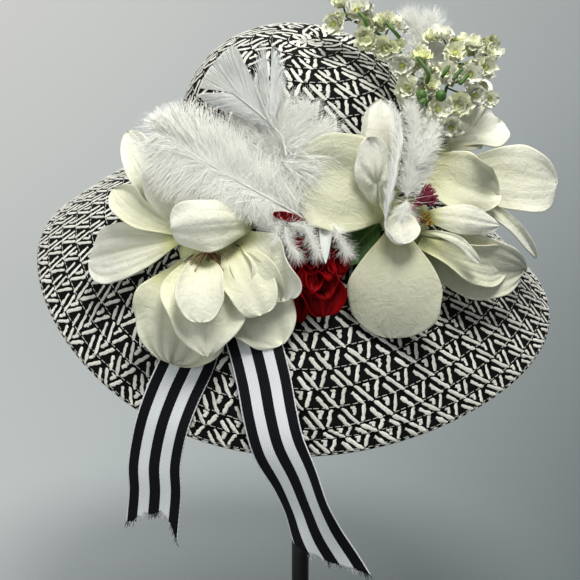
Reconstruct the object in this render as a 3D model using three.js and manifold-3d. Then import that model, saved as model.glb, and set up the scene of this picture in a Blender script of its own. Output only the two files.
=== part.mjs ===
// Wide-brim hat of braided straw, trimmed with fabric flowers, feathers and striped ribbon,
// on a plain pole stand. Millimetres, +Z up, front towards -Y.
// The origin is the middle of the underside of the stand's base.

import * as THREE from 'three';
import { mergeVertices } from 'three/addons/utils/BufferGeometryUtils.js';
import Module from 'manifold-3d';

const wasm = await Module();
wasm.setup();

// Driving dimensions of the hat
const GAP = 0.3;                 // clearance where two pieces meet
const WALL = 1.8;                // braid, one layer with its overlap
const BRIM_THICKNESS = WALL * 1.25;
const FACET_SAG = 0.6;           // how far the crown's flat facets cut inside its true curve
const CROWN_HALF_WIDTH = 93;     // outside, left to right
const CROWN_HALF_DEPTH = 98;     // outside, front to back
const CROWN_HEIGHT = 115.5;
const CROWN_SQUARENESS = 2.7;    // superellipse power of the side profile
const BRIM_REACH = 203.4;        // mean distance of the edge from the crown's axis
const BRIM_DROP = 92;            // mean drop of the edge below the head opening
const BRIM_BOW = 0.62;           // share of the drop that is straight, the rest steepens outwards
const HAT_TILT = 21;             // degrees, the crown leans to the front
const HAT_ROLL = 5.35;           // degrees, the right side lies lower
const HAT_PLACE = new THREE.Vector3(-7, -5, 400);   // middle of the head opening

// The edge's waves around the hat: reach and height as sums of cosines and sines
const EDGE_WAVES = [
  { turns: 1, reachCos: 9.0, reachSin: -1.1, heightCos: -7.8, heightSin: -3.5 },
  { turns: 2, reachCos: 1.05, reachSin: 0, heightCos: 13.1, heightSin: -1.2 },
  { turns: 3, reachCos: 2.15, reachSin: 0.43, heightCos: -2.1, heightSin: -3.0 },
];

// Driving dimensions of the ribbon
const RIBBON_WIDTH = 38;
const RIBBON_THICKNESS = 1;
const BAND_FOOT = 2;             // height of the hatband's lower edge

// Driving dimensions of the stand
const BASE_RADIUS = 100;
const BASE_THICKNESS = 8;
const POLE_RADIUS = 7;
const PAD_RADIUS = 26;
const PAD_THICKNESS = 10;
const BASE_CHAMFER = 2;
const POLE_COLLAR = { radius: 14, rim: 6, height: 12 };
const BASE_SIDES = 24;
const POLE_SIDES = 12;

// The trimmings are laid out in a plane that leans back 12 degrees:
// x to the right, y up, z outwards, with the middle of the head opening as origin.
const TRIM_LEAN = 12;

// Driving dimensions of the trimmings
const PETAL_THICKNESS = 1.2;
const FEATHER_THICKNESS = 1;
const QUILL_RADIUS = 0.9;
const FLORET = { radius: 7.5, lobes: 5, lobeDepth: 0.14, rimRise: 2, heartRise: 0.6, footDrop: 3.4 };
const STEM_RADIUS = 1.1;
const TWIG_RADIUS = 1.1;
const STAMEN_TAPER = 0.7;        // a prong's tip against its root

// How finely the small forms are cut into facets: steps along, strips or sides across
const PETAL_FACETS = { steps: 4, strips: 3 };
const ROSE_FACETS = { steps: 3, strips: 2 };
const LEAF_FACETS = { steps: 5, strips: 2 };
const VANE_FACETS = { steps: 5, strips: 2 };
const QUILL_FACETS = { steps: 3, sides: 5 };
const STEM_FACETS = { steps: 10, sides: 5 };
const FOOT_SIDES = 8;
const PRONG_SIDES = 3;
const LUMP_FACETS = { around: 7, over: 4 };

const FINISH = {
  straw: { color: 0x8a8a88, roughness: 0.8 },
  ribbon: { color: 0x222222, roughness: 0.6 },
  petal: { color: 0xf1f0dc, roughness: 0.7 },
  stamen: { color: 0x8a5a4a, roughness: 0.8 },
  rose: { color: 0xa00812, roughness: 0.5 },
  leaf: { color: 0x2f4a22, roughness: 0.7 },
  feather: { color: 0xf6f8fb, roughness: 0.9 },
  blossom: { color: 0xf3f3cf, roughness: 0.8 },
  stand: { color: 0x0c0c0d, roughness: 0.4, metalness: 0.3 },
};

const radians = THREE.MathUtils.degToRad;

// Geometry helpers

// Joins closed loops of points into one solid. A loop of one point makes a fan.
// ends: 'strip' closes thin loops across, 'ring' joins the last loop to the first,
// 'fan' leaves the closing to the one-point loops at both ends.
function loft(loops, ends) {
  const positions = [];
  const starts = [];
  for (const loop of loops) {
    starts.push(positions.length / 3);
    for (const point of loop) {
      positions.push(point.x, point.y, point.z);
    }
  }
  const faces = [];
  const join = (a, b) => {
    const count = Math.max(loops[a].length, loops[b].length);
    const at = (k, j) => starts[k] + (loops[k].length === 1 ? 0 : j % count);
    const whole = loops[a].length > 1 && loops[b].length > 1;
    for (let j = 0; j < count; j += 1) {
      if (ends === 'strip' && whole && j >= count / 2) {
        faces.push(at(a, j), at(a, j + 1), at(b, j));
        faces.push(at(a, j + 1), at(b, j + 1), at(b, j));
        continue;
      }
      if (loops[a].length > 1) {
        faces.push(at(a, j), at(a, j + 1), at(b, j + 1));
      }
      if (loops[b].length > 1) {
        faces.push(at(a, j), at(b, j + 1), at(b, j));
      }
    }
  };
  for (let k = 0; k + 1 < loops.length; k += 1) {
    join(k, k + 1);
  }
  if (ends === 'ring') {
    join(loops.length - 1, 0);
  }
  if (ends === 'strip') {
    const last = loops.length - 1;
    const count = loops[0].length;
    for (let j = 0; j + 1 < count / 2; j += 1) {
      const back = count - 1 - j;
      faces.push(starts[0] + j, starts[0] + back, starts[0] + j + 1);
      faces.push(starts[0] + j + 1, starts[0] + back, starts[0] + back - 1);
      faces.push(starts[last] + j, starts[last] + j + 1, starts[last] + back);
      faces.push(starts[last] + j + 1, starts[last] + back - 1, starts[last] + back);
    }
  }
  const geometry = new THREE.BufferGeometry();
  geometry.setAttribute('position', new THREE.Float32BufferAttribute(positions, 3));
  geometry.setIndex(faces);
  return geometry;
}

// Six times the volume inside the faces, negative where they point inwards
function signedVolume(geometry) {
  const position = geometry.getAttribute('position');
  const index = geometry.getIndex();
  const a = new THREE.Vector3();
  const b = new THREE.Vector3();
  const c = new THREE.Vector3();
  let sum = 0;
  for (let k = 0; k < index.count; k += 3) {
    a.fromBufferAttribute(position, index.getX(k));
    b.fromBufferAttribute(position, index.getX(k + 1));
    c.fromBufferAttribute(position, index.getX(k + 2));
    sum += a.dot(b.cross(c));
  }
  return sum;
}

// A closed geometry as a solid with its faces pointing out
function solidOf(source) {
  let geometry = source.clone();
  geometry.deleteAttribute('normal');
  geometry.deleteAttribute('uv');
  geometry = mergeVertices(geometry, 1e-4);
  const triVerts = new Uint32Array(geometry.getIndex().array);
  if (signedVolume(geometry) < 0) {
    triVerts.reverse();
  }
  const vertProperties = new Float32Array(geometry.getAttribute('position').array);
  return new wasm.Manifold(new wasm.Mesh({ numProp: 3, vertProperties, triVerts }));
}

function geometryOf(solid) {
  const mesh = solid.getMesh();
  const geometry = new THREE.BufferGeometry();
  geometry.setAttribute('position', new THREE.Float32BufferAttribute(mesh.vertProperties, 3));
  geometry.setIndex(new THREE.Uint32BufferAttribute(mesh.triVerts, 1));
  geometry.computeVertexNormals();
  return geometry;
}

function joined(solids) {
  return solids.reduce((sum, solid) => sum.add(solid));
}

// The largest of the loose bodies that cutting leaves
function mainBody(solid) {
  const bodies = solid.decompose();
  return bodies.reduce((best, body) => (body.volume() > best.volume() ? body : best));
}

function boxesMeet(first, second) {
  const a = first.boundingBox();
  const b = second.boundingBox();
  return [0, 1, 2].every((k) => a.min[k] < b.max[k] && b.min[k] < a.max[k]);
}

// Hat surfaces, in the hat's own frame: z is the crown's axis, angle 0 is the right side

function crownPoint(angle, share, inset) {
  const narrowing = Math.pow(1 - Math.pow(share, CROWN_SQUARENESS), 1 / CROWN_SQUARENESS);
  return new THREE.Vector3(
    (CROWN_HALF_WIDTH - inset) * narrowing * Math.cos(angle),
    (CROWN_HALF_DEPTH - inset) * narrowing * Math.sin(angle),
    (CROWN_HEIGHT - inset) * share,
  );
}

function crownReach(angle) {
  return 1 / Math.hypot(Math.cos(angle) / CROWN_HALF_WIDTH, Math.sin(angle) / CROWN_HALF_DEPTH);
}

// Top face of the brim, share 0 at the crown and 1 at the edge
function brimPoint(angle, share, lift) {
  let reach = BRIM_REACH;
  let height = -BRIM_DROP;
  for (const wave of EDGE_WAVES) {
    const cosine = Math.cos(wave.turns * angle);
    const sine = Math.sin(wave.turns * angle);
    reach += wave.reachCos * cosine + wave.reachSin * sine;
    height += wave.heightCos * cosine + wave.heightSin * sine;
  }
  const foot = crownReach(angle);
  const radius = foot + (reach - foot) * share;
  const fall = BRIM_BOW * share + (1 - BRIM_BOW) * share * share;
  return new THREE.Vector3(
    radius * Math.cos(angle),
    radius * Math.sin(angle),
    height * fall - GAP + lift,
  );
}

function ringOf(count, pointAt) {
  return Array.from({ length: count }, (_, k) => pointAt((k / count) * 2 * Math.PI));
}

const CROWN_SIDES = 36;
// Heights of the crown's rings as shares of its height, closer where it rounds over
const CROWN_RINGS = [0, 0.35, 0.6, 0.78, 0.89, 0.96, 0.99];

function crownGeometry() {
  const outside = CROWN_RINGS.map((share) => ringOf(CROWN_SIDES, (a) => crownPoint(a, share, 0)));
  const inside = CROWN_RINGS.map((share) => ringOf(CROWN_SIDES, (a) => crownPoint(a, share, WALL)));
  const top = [new THREE.Vector3(0, 0, CROWN_HEIGHT)];
  const ceiling = [new THREE.Vector3(0, 0, CROWN_HEIGHT - WALL)];
  return loft([top, ...outside.reverse(), ...inside, ceiling], 'fan');
}

const BRIM_SIDES = 44;
const BRIM_RINGS = 4;

function brimGeometry(lift, drop) {
  const shares = Array.from({ length: BRIM_RINGS + 1 }, (_, k) => k / BRIM_RINGS);
  const seat = ringOf(BRIM_SIDES, (a) => {
    const point = brimPoint(a, 0, lift);
    const inner = (crownReach(a) - WALL) / crownReach(a);
    return new THREE.Vector3(point.x * inner, point.y * inner, point.z);
  });
  const upper = shares.map((share) => ringOf(BRIM_SIDES, (a) => brimPoint(a, share, lift)));
  const lower = shares.map((share) => ringOf(BRIM_SIDES, (a) => brimPoint(a, share, -drop)));
  return loft([seat, ...upper, ...lower.reverse()], 'ring');
}

const BULK_DEPTH = 30;           // how far below the brim the filled hat goes

// The filled hat a little larger than it is, which the trimmings keep clear of
function hatBulk(clearance) {
  const sides = CROWN_RINGS.map((share) => (
    ringOf(CROWN_SIDES, (a) => crownPoint(a, share, -clearance))
  ));
  const floor = [new THREE.Vector3(0, 0, 0)];
  const top = [new THREE.Vector3(0, 0, CROWN_HEIGHT + clearance)];
  const dome = loft([floor, ...sides, top], 'fan');
  return [dome, brimGeometry(GAP + FACET_SAG / 6, BULK_DEPTH)];
}

function hatbandGeometry() {
  const shares = [BAND_FOOT, BAND_FOOT + RIBBON_WIDTH].map((height) => height / CROWN_HEIGHT);
  const inner = shares.map((share) => ringOf(CROWN_SIDES, (a) => crownPoint(a, share, -GAP)));
  const outer = shares.map((share) => {
    return ringOf(CROWN_SIDES, (a) => crownPoint(a, share, -GAP - RIBBON_THICKNESS));
  });
  return loft([...outer, ...inner.reverse()], 'ring');
}

// Blades: petals, leaves, feather vanes and locks of down, all one parametric form.
// base and tip are the ends of the midline; rise lifts its two thirds outwards;
// bow moves it sideways; cup bends the section, curl rolls its two edges, in degrees;
// roll turns the section about the midline.
const BLADE_DEFAULTS = {
  rise: [0, 0], bow: 0, peak: 0.6, foot: 0.22, point: 0.5, cup: 20, curl: [0, 0], roll: 0,
};

const BLADE_SWELL = 1.3;         // how late a blade widens, 1 is a quarter of a sine wave
const BLADE_BLUNTNESS = 0.1;     // share of the width that is left at the tip
const CURL_POWER = 4;            // how near the edge a blade's curl starts

// Share of the full width at t, from 0 at the base to 1 at the tip
function bladeShare(row, t) {
  if (t < row.peak) {
    const rise = Math.sin((Math.PI / 2) * (t / row.peak));
    return row.foot + (1 - row.foot) * Math.pow(rise, BLADE_SWELL);
  }
  const past = (t - row.peak) / (1 - row.peak);
  return Math.max(Math.pow(Math.max(1 - past * past, 0), row.point), BLADE_BLUNTNESS);
}

// Place across a section at v, from -1 at one edge to 1 at the other, for a half width of 1
function sectionPoint(row, v) {
  const steps = 8;
  const curl = v < 0 ? row.curl[0] : row.curl[1];
  let across = 0;
  let out = 0;
  for (let k = 0; k < steps; k += 1) {
    const at = (v * (k + 0.5)) / steps;
    const turn = radians(row.cup * at + curl * Math.sign(at) * Math.pow(Math.abs(at), CURL_POWER));
    across += (Math.cos(turn) * v) / steps;
    out += (Math.sin(turn) * v) / steps;
  }
  return [across, out];
}

function bladeGeometry(values, thickness, facets, grow) {
  const { steps, strips } = facets;
  const row = { ...BLADE_DEFAULTS, ...values };
  const base = new THREE.Vector3(...row.base);
  const tip = new THREE.Vector3(...row.tip);
  const along = tip.clone().sub(base).normalize();
  const outward = new THREE.Vector3(0, 0, 1).addScaledVector(along, -along.z).normalize();
  const sideways = along.clone().cross(outward);
  base.addScaledVector(along, -grow);
  tip.addScaledVector(along, grow);
  const third = base.clone().lerp(tip, 1 / 3).addScaledVector(outward, row.rise[0]);
  const twoThirds = base.clone().lerp(tip, 2 / 3).addScaledVector(outward, row.rise[1]);
  third.addScaledVector(sideways, row.bow);
  twoThirds.addScaledVector(sideways, row.bow);
  const midline = new THREE.CubicBezierCurve3(base, third, twoThirds, tip);
  const half = thickness / 2 + grow;
  const loops = [];
  for (let k = 0; k <= steps; k += 1) {
    const t = k / steps;
    const point = midline.getPoint(t);
    const tangent = midline.getTangent(t);
    const normal = outward.clone().addScaledVector(tangent, -outward.dot(tangent)).normalize();
    const side = tangent.clone().cross(normal);
    normal.applyAxisAngle(tangent, radians(-row.roll));
    side.applyAxisAngle(tangent, radians(-row.roll));
    const reach = (bladeShare(row, t) * row.width) / 2 + grow;
    const front = [];
    const back = [];
    for (let j = 0; j <= strips; j += 1) {
      const v = (2 * j) / strips - 1;
      const [across, out] = sectionPoint(row, v);
      const curl = v < 0 ? row.curl[0] : row.curl[1];
      const lean = radians(row.cup * v + curl * Math.sign(v) * Math.abs(v) ** CURL_POWER);
      const middle = point.clone()
        .addScaledVector(side, reach * across)
        .addScaledVector(normal, reach * out);
      const face = normal.clone()
        .multiplyScalar(Math.cos(lean))
        .addScaledVector(side, -Math.sin(lean));
      front.push(middle.clone().addScaledVector(face, half));
      back.push(middle.clone().addScaledVector(face, -half));
    }
    loops.push([...front, ...back.reverse()]);
  }
  return loft(loops, 'strip');
}

// A round lump, such as a calyx or the heart of the rose
function lumpGeometry(place, size, grow) {
  const geometry = new THREE.SphereGeometry(1, LUMP_FACETS.around, LUMP_FACETS.over);
  geometry.scale(size[0] + grow, size[1] + grow, size[2] + grow);
  geometry.translate(...place);
  return geometry;
}

// A round stalk along a smooth curve through the points
function stalkGeometry(points, radius, facets) {
  const { steps, sides } = facets;
  const outline = new THREE.Shape();
  for (let k = 0; k < sides; k += 1) {
    const turn = (k / sides) * 2 * Math.PI;
    outline[k === 0 ? 'moveTo' : 'lineTo'](radius * Math.cos(turn), radius * Math.sin(turn));
  }
  const path = new THREE.CatmullRomCurve3(points.map((point) => new THREE.Vector3(...point)));
  return new THREE.ExtrudeGeometry(outline, { extrudePath: path, steps, curveSegments: 1 });
}

// A straight tapered stalk that carries a flower on the hat
function footGeometry(from, to, radiusFrom, radiusTo, sides, grow) {
  const start = new THREE.Vector3(...from);
  const end = new THREE.Vector3(...to);
  const length = start.distanceTo(end);
  const geometry = new THREE.CylinderGeometry(
    radiusTo + grow,
    radiusFrom + grow,
    length + 2 * grow,
    sides,
  );
  geometry.translate(0, length / 2, 0);
  const turn = new THREE.Quaternion().setFromUnitVectors(
    new THREE.Vector3(0, 1, 0),
    end.clone().sub(start).normalize(),
  );
  geometry.applyQuaternion(turn);
  geometry.translate(start.x, start.y, start.z);
  return geometry;
}

// A small five-lobed floret: a shallow cup with an upturned lobed rim and a pointed foot
function floretGeometry(place, facing, scale, grow) {
  const rim = ringOf(2 * FLORET.lobes, (a) => {
    const lobe = Math.cos(FLORET.lobes * a);
    const reach = FLORET.radius * scale * (1 - FLORET.lobeDepth * (1 - lobe)) + grow;
    return new THREE.Vector3(reach * Math.cos(a), reach * Math.sin(a), FLORET.rimRise + 0.8 * lobe);
  });
  const heart = [new THREE.Vector3(0, 0, FLORET.heartRise + grow)];
  const foot = [new THREE.Vector3(0, 0, -FLORET.footDrop - grow)];
  const geometry = loft([heart, rim, foot], 'fan');
  const aim = new THREE.Vector3(...facing).normalize();
  const turn = new THREE.Quaternion().setFromUnitVectors(new THREE.Vector3(0, 0, 1), aim);
  geometry.applyQuaternion(turn);
  geometry.translate(...place);
  return geometry;
}

// A plume's outer form: a lens whose rim is cut into pointed locks
function plumeGeometry(row, grow) {
  const head = new THREE.Vector3(...row.head);
  const tips = row.tips.map((tip) => new THREE.Vector3(...tip));
  const rim = [];
  tips.forEach((tip, k) => {
    const next = tips[(k + 1) % tips.length];
    rim.push(tip.clone().addScaledVector(tip.clone().sub(head).normalize(), grow));
    rim.push(tip.clone().lerp(next, 0.5).lerp(head, 1 - LOCK_NOTCH));
  });
  const rise = row.thick / 2 + grow;
  const front = [head.clone().add(new THREE.Vector3(0, 0, rise))];
  const back = [head.clone().add(new THREE.Vector3(0, 0, -rise))];
  return loft([front, rim, back], 'fan');
}

// Left magnolia, petals from back to front
const LEFT_PETALS = [
  {
    base: [-72, -46, 94], tip: [-119, 30, 66], width: 30,
    rise: [10, 12], cup: 30, foot: 0.2, point: 0.62, bow: -3, roll: 14,
  },
  { base: [-72, -44, 96], tip: [-96, 9, 92], width: 36, rise: [8, 10], cup: 25 },
  {
    base: [-74, -46, 99], tip: [-127, -13, 84], width: 25,
    rise: [8, 10], cup: 55, peak: 0.76, foot: 0.2, point: 0.68, bow: -6, roll: -2,
  },
  {
    base: [-75, -49, 101], tip: [-147, -63, 66], width: 43,
    rise: [10, 16], cup: 18, peak: 0.68, foot: 0.16, point: 0.56, bow: 1, roll: -12,
  },
  { base: [-69, -59, 101], tip: [-81, -86, 104], width: 18, rise: [4, 4], point: 0.48, roll: 58 },
  {
    base: [-71, -64, 101], tip: [-84, -136, 109], width: 71,
    rise: [10, 10], cup: 24, peak: 0.3, point: 0.7, bow: -5, roll: 1,
  },
  {
    base: [-46, -70, 98], tip: [-6, -122, 109], width: 51,
    rise: [8, 8], cup: 20, peak: 0.54, foot: 0.26, point: 0.62, bow: 1, roll: 3,
  },
  {
    base: [-60, -61, 102], tip: [-58, -131, 122], width: 58,
    rise: [16, 18], cup: 48, peak: 0.44, point: 0.82, bow: 1, roll: 5,
  },
  {
    base: [-62, -66, 104], tip: [-62, -107, 132], width: 36,
    rise: [16, 14], cup: 75, peak: 0.68, foot: 0.36, point: 0.42, roll: 2,
  },
  {
    base: [-46, -57, 102], tip: [-21, -102, 124], width: 31,
    rise: [14, 12], cup: 35, peak: 0.64, foot: 0.24, bow: -3, roll: 8,
  },
  { base: [-42, -57, 102], tip: [-8, -92, 118], width: 30, rise: [16, 14], cup: 40 },
  {
    base: [-36, -47, 102], tip: [-4, -92, 112], width: 27,
    rise: [14, 12], cup: 50, peak: 0.72, foot: 0.32, curl: [50, 0], bow: -8, roll: -1,
  },
  {
    base: [-25, -42, 104], tip: [-85, -46, 128], width: 35,
    rise: [20, 14], cup: -30, peak: 0.68, foot: 0.3, point: 0.48, roll: 3,
  },
];

// Right lower magnolia
const RIGHT_PETALS = [
  {
    base: [70, -26, 91], tip: [3, -5, 112], width: 67,
    rise: [14, 14], cup: 14, foot: 0.36, bow: 4, roll: -1,
  },
  {
    base: [69, -20, 89], tip: [63, 50, 92], width: 32,
    rise: [10, 10], cup: 20, peak: 0.56, foot: 0.28, point: 0.66, bow: -5, roll: 5,
  },
  {
    base: [66, -29, 94], tip: [53, 20, 122], width: 28,
    rise: [16, 10], cup: -30, peak: 0.62, foot: 0.38, point: 0.48, bow: -3, roll: -1,
  },
  {
    base: [74, -42, 90], tip: [70, -119, 96], width: 67,
    rise: [16, 14], cup: 16, peak: 0.62, point: 0.52, roll: -2,
  },
  {
    base: [84, -48, 88], tip: [173, -69, 34], width: 48,
    rise: [12, 16], cup: 40, peak: 0.52, foot: 0.24, point: 0.64, bow: 11, roll: -7,
  },
  {
    base: [90, -51, 92], tip: [158, -66, 46], width: 32,
    rise: [14, 18], cup: 30, peak: 0.7, foot: 0.28, point: 0.68, bow: 8, roll: 6,
  },
  {
    base: [89, -44, 92], tip: [133, -65, 88], width: 8,
    rise: [10, 10], cup: -30, peak: 0.72, foot: 0.08, point: 0.56, bow: -8, roll: 2,
  },
  {
    base: [92, -32, 92], tip: [149, -38, 72], width: 22,
    rise: [14, 14], cup: -25, peak: 0.46, foot: 0.28, point: 0.6, roll: 5,
  },
  { base: [92, -30, 88], tip: [138, -33, 72], width: 14, rise: [8, 8], foot: 0.24, point: 0.56, roll: 2 },
  {
    base: [76, -28, 92], tip: [79, -53, 114], width: 25,
    rise: [10, 6], cup: -30, peak: 0.68, foot: 0.32, point: 0.48, bow: 2, roll: -7,
  },
];

// Right upper magnolia
const UPPER_PETALS = [
  {
    base: [112, 14, 52], tip: [146, 77, 8], width: 20,
    rise: [10, 10], peak: 0.8, foot: 0.24, point: 0.48, bow: 3, roll: 2,
  },
  {
    base: [106, 22, 50], tip: [158, 43, 14], width: 31,
    rise: [12, 14], cup: 30, peak: 0.66, foot: 0.24, point: 0.56, bow: 3, roll: 15,
  },
  {
    base: [101, 19, 56], tip: [147, 31, 26], width: 22,
    rise: [12, 14], cup: -20, peak: 0.58, foot: 0.28, point: 0.68, bow: -5, roll: 19,
  },
  {
    base: [108, -1, 58], tip: [202, -4, 10], width: 52,
    rise: [14, 18], cup: 18, peak: 0.64, foot: 0.28, point: 0.52, roll: 11,
  },
  {
    base: [98, 4, 66], tip: [151, -16, 62], width: 31,
    rise: [18, 16], cup: 38, peak: 0.44, foot: 0.52, point: 0.56, bow: 3,
  },
  {
    base: [122, -7, 56], tip: [185, -60, 22], width: 13,
    rise: [16, 16], cup: 30, peak: 0.64, foot: 0.2, point: 0.46, bow: -3, roll: 22,
  },
];

const ROSE_PETALS = [
  { base: [7, -54, 94], tip: [-1, -30, 104], width: 26, cup: 30 },
  { base: [8, -61, 95], tip: [-11, -65, 104], width: 40, cup: 35, peak: 0.5 },
  { base: [8, -62, 97], tip: [4, -107, 104], width: 34, cup: 30, peak: 0.5, point: 0.8 },
  { base: [13, -62, 95], tip: [38, -86, 102], width: 36, cup: 35, peak: 0.55 },
  { base: [13, -58, 97], tip: [32, -47, 104], width: 30, cup: 35, peak: 0.5 },
  { base: [13, -64, 102], tip: [21, -96, 116], width: 28, cup: 60, peak: 0.55, foot: 0.5 },
  { base: [13, -63, 104], tip: [5, -48, 120], width: 24, cup: 70, peak: 0.5, foot: 0.5 },
  { base: [13, -64, 104], tip: [29, -68, 120], width: 22, cup: 80, peak: 0.5, foot: 0.5 },
];

const ROSE_HEART = { place: [11, -62, 96], size: [12, 12, 12] };

const ROSE_LEAF = [
  { base: [64, -35, 84], tip: [30, -69, 97], width: 24, cup: 20, peak: 0.5, point: 0.8 },
];

// Feathers: the vane, and the two ends of the quill that carries it
const FEATHERS = {
  feather_large: {
    vanes: [
      {
        base: [5, -34, 120.2], tip: [-99, 34, 102.4], width: 50,
        rise: [8, 10], cup: -8, peak: 0.55, foot: 0.06, point: 0.7,
      },
    ],
    quill: [[15, -52, 110], [6, -36, 118.2], [-10, -24, 122.2]],
  },
  feather_split: {
    vanes: [
      {
        base: [-14, 27, 120], tip: [-54, 73, 120], width: 30,
        rise: [4, 4], cup: 6, peak: 0.75, foot: 0.1, point: 0.35,
      },
      {
        base: [-14, 27, 119], tip: [-65, 50, 116], width: 14,
        rise: [4, 4], cup: 6, peak: 0.75, foot: 0.14,
      },
    ],
    quill: [[-4, 8, 120], [-10, 20, 119], [-22, 34, 120]],
  },
  feather_thin: {
    vanes: [
      {
        base: [-11, 29, 117], tip: [-15, 84, 108], width: 32,
        rise: [4, 4], cup: 6, peak: 0.5, foot: 0.1, point: 0.8,
      },
    ],
    quill: [[0, 8, 116], [-6, 22, 117], [-9, 36, 119]],
  },
  feather_narrow: {
    vanes: [
      {
        base: [66, -48, 118], tip: [65, 47, 110], width: 8,
        rise: [6, 6], bow: 8, cup: 5, peak: 0.5, foot: 0.3,
      },
    ],
    quill: [[70, -50, 115], [67, -44, 118], [69, -32, 120]],
  },
};

// Down plumes: pointed locks that fan out from one head, listed in turning order.
// thick is the head's thickness; the locks thin out towards their tips.
const PLUMES = {
  fluff_crown: {
    head: [-12, 4, 117],
    thick: 6,
    tips: [
      [-8, -24, 116], [-52, 4, 110], [-84, 26, 106], [-66, 42, 106], [-44, 46, 110],
      [-18, 54, 113], [10, 46, 112], [30, 32, 110], [30, 12, 113],
    ],
  },
  fluff_rose: {
    head: [12, -42, 125],
    thick: 3,
    tips: [[-6, -40, 123], [-14, -58, 122], [3, -66, 124], [25, -70, 124], [40, -54, 123], [28, -38, 125]],
  },
  fluff_right: {
    head: [84, -6, 106],
    thick: 5,
    tips: [[76, -26, 108], [78, 30, 100], [88, 46, 96], [100, 40, 92], [106, 16, 96], [96, -18, 102]],
  },
  fluff_back: {
    head: [105, 52, 50],
    thick: 5,
    tips: [[106, 16, 52], [88, 76, 50], [94, 96, 52], [106, 112, 52], [116, 98, 51], [120, 76, 50]],
  },
};
const LOCK_NOTCH = 0.62;         // how far out the notch between two locks lies

// Blossom sprays: one main stem with short twigs to each floret.
// at: share of the stem where the twig leaves; face: where the floret looks.
const SPRAYS = {
  blossom_spray_left: {
    stem: [
      [104, 8, 61], [99, 24, 64], [97, 44, 66], [91, 62, 72], [77, 86, 80], [58, 100, 84], [42, 108, 84],
    ],
    florets: [
      { place: [30, 104, 88], face: [-0.4, -0.1, 1], scale: 1.05 },
      { place: [46, 113, 88], face: [0.1, 0.6, 1], scale: 1.1 },
      { place: [36, 120, 82], face: [-0.4, 0.8, 0.7], scale: 1 },
      { place: [52, 94, 92], face: [0, -0.4, 1], scale: 1 },
      { place: [70, 106, 82], face: [0.2, 0.7, 0.8], scale: 1.05 },
      { place: [66, 86, 92], face: [-0.3, -0.2, 1], scale: 1.1 },
      { place: [78, 74, 92], face: [-0.2, -0.4, 1], scale: 1.1 },
      { place: [90, 80, 82], face: [0.5, 0.3, 1], scale: 1 },
      { place: [82, 58, 92], face: [-0.4, 0, 1], scale: 1.05 },
      { place: [98, 62, 82], face: [0.5, 0.1, 1], scale: 1 },
      { place: [88, 42, 88], face: [-0.2, 0, 1], scale: 1.15 },
      { place: [104, 44, 80], face: [0.2, 0, 1], scale: 1.15 },
      { place: [98, 28, 82], face: [0, -0.4, 1], scale: 1 },
    ],
  },
  blossom_spray_right: {
    stem: [[110, 6, 60], [112, 24, 61], [110, 44, 62], [113, 64, 64], [122, 78, 64], [136, 82, 62]],
    florets: [
      { place: [110, 100, 62], face: [-0.1, 0.7, 0.7], scale: 1 },
      { place: [118, 86, 70], face: [-0.1, 0.3, 1], scale: 1.05 },
      { place: [112, 72, 72], face: [-0.4, 0, 1], scale: 1.05 },
      { place: [132, 94, 64], face: [0.2, 0.7, 0.8], scale: 1 },
      { place: [144, 88, 62], face: [0.7, 0.3, 0.8], scale: 1.05 },
      { place: [140, 76, 68], face: [0.5, -0.1, 1], scale: 1 },
      { place: [128, 70, 74], face: [0.1, -0.1, 1], scale: 1.1 },
      { place: [132, 56, 70], face: [0.3, -0.3, 1], scale: 1.1 },
      { place: [120, 48, 76], face: [0, -0.2, 1], scale: 1.15 },
      { place: [114, 32, 76], face: [0, -0.5, 1], scale: 1 },
    ],
  },
};

// Ribbon tails: stations down the middle of the ribbon, from the hatband to the cut end.
// turn swings the width towards the viewer on the right, slant cuts it off square, both in degrees.
const TAILS = {
  ribbon_tail_left: [
    { x: -52, y: -84, z: 93.5, slant: 20, turn: 12 },
    { x: -64, y: -106, z: 100.5, slant: 21, turn: 4 },
    { x: -71.5, y: -132, z: 106, slant: 19, turn: 2 },
    { x: -83, y: -158, z: 109.5, slant: 14, turn: 4 },
    { x: -91, y: -181, z: 110, slant: 9, turn: 6 },
    { x: -96, y: -206, z: 106, slant: 2, turn: 6 },
    { x: -96, y: -226, z: 102, slant: 2, turn: 6 },
    { x: -98, y: -246, z: 98, slant: 8, turn: 6 },
  ],
  ribbon_tail_right: [
    { x: -40, y: -84, z: 98, slant: -14, turn: 0 },
    { x: -27, y: -120, z: 107, slant: -14, turn: 0 },
    { x: -20, y: -146, z: 113, slant: -10, turn: 2 },
    { x: -15, y: -172, z: 118, slant: -12, turn: 4 },
    { x: -9, y: -194, z: 120, slant: -22, turn: 10 },
    { x: 2, y: -216, z: 116, slant: -28, turn: 26 },
    { x: 10, y: -238, z: 112, slant: -18, turn: 34 },
    { x: 19, y: -260, z: 108, slant: -30, turn: 20 },
    { x: 34, y: -285, z: 103, slant: -36, turn: 10 },
  ],
};

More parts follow.
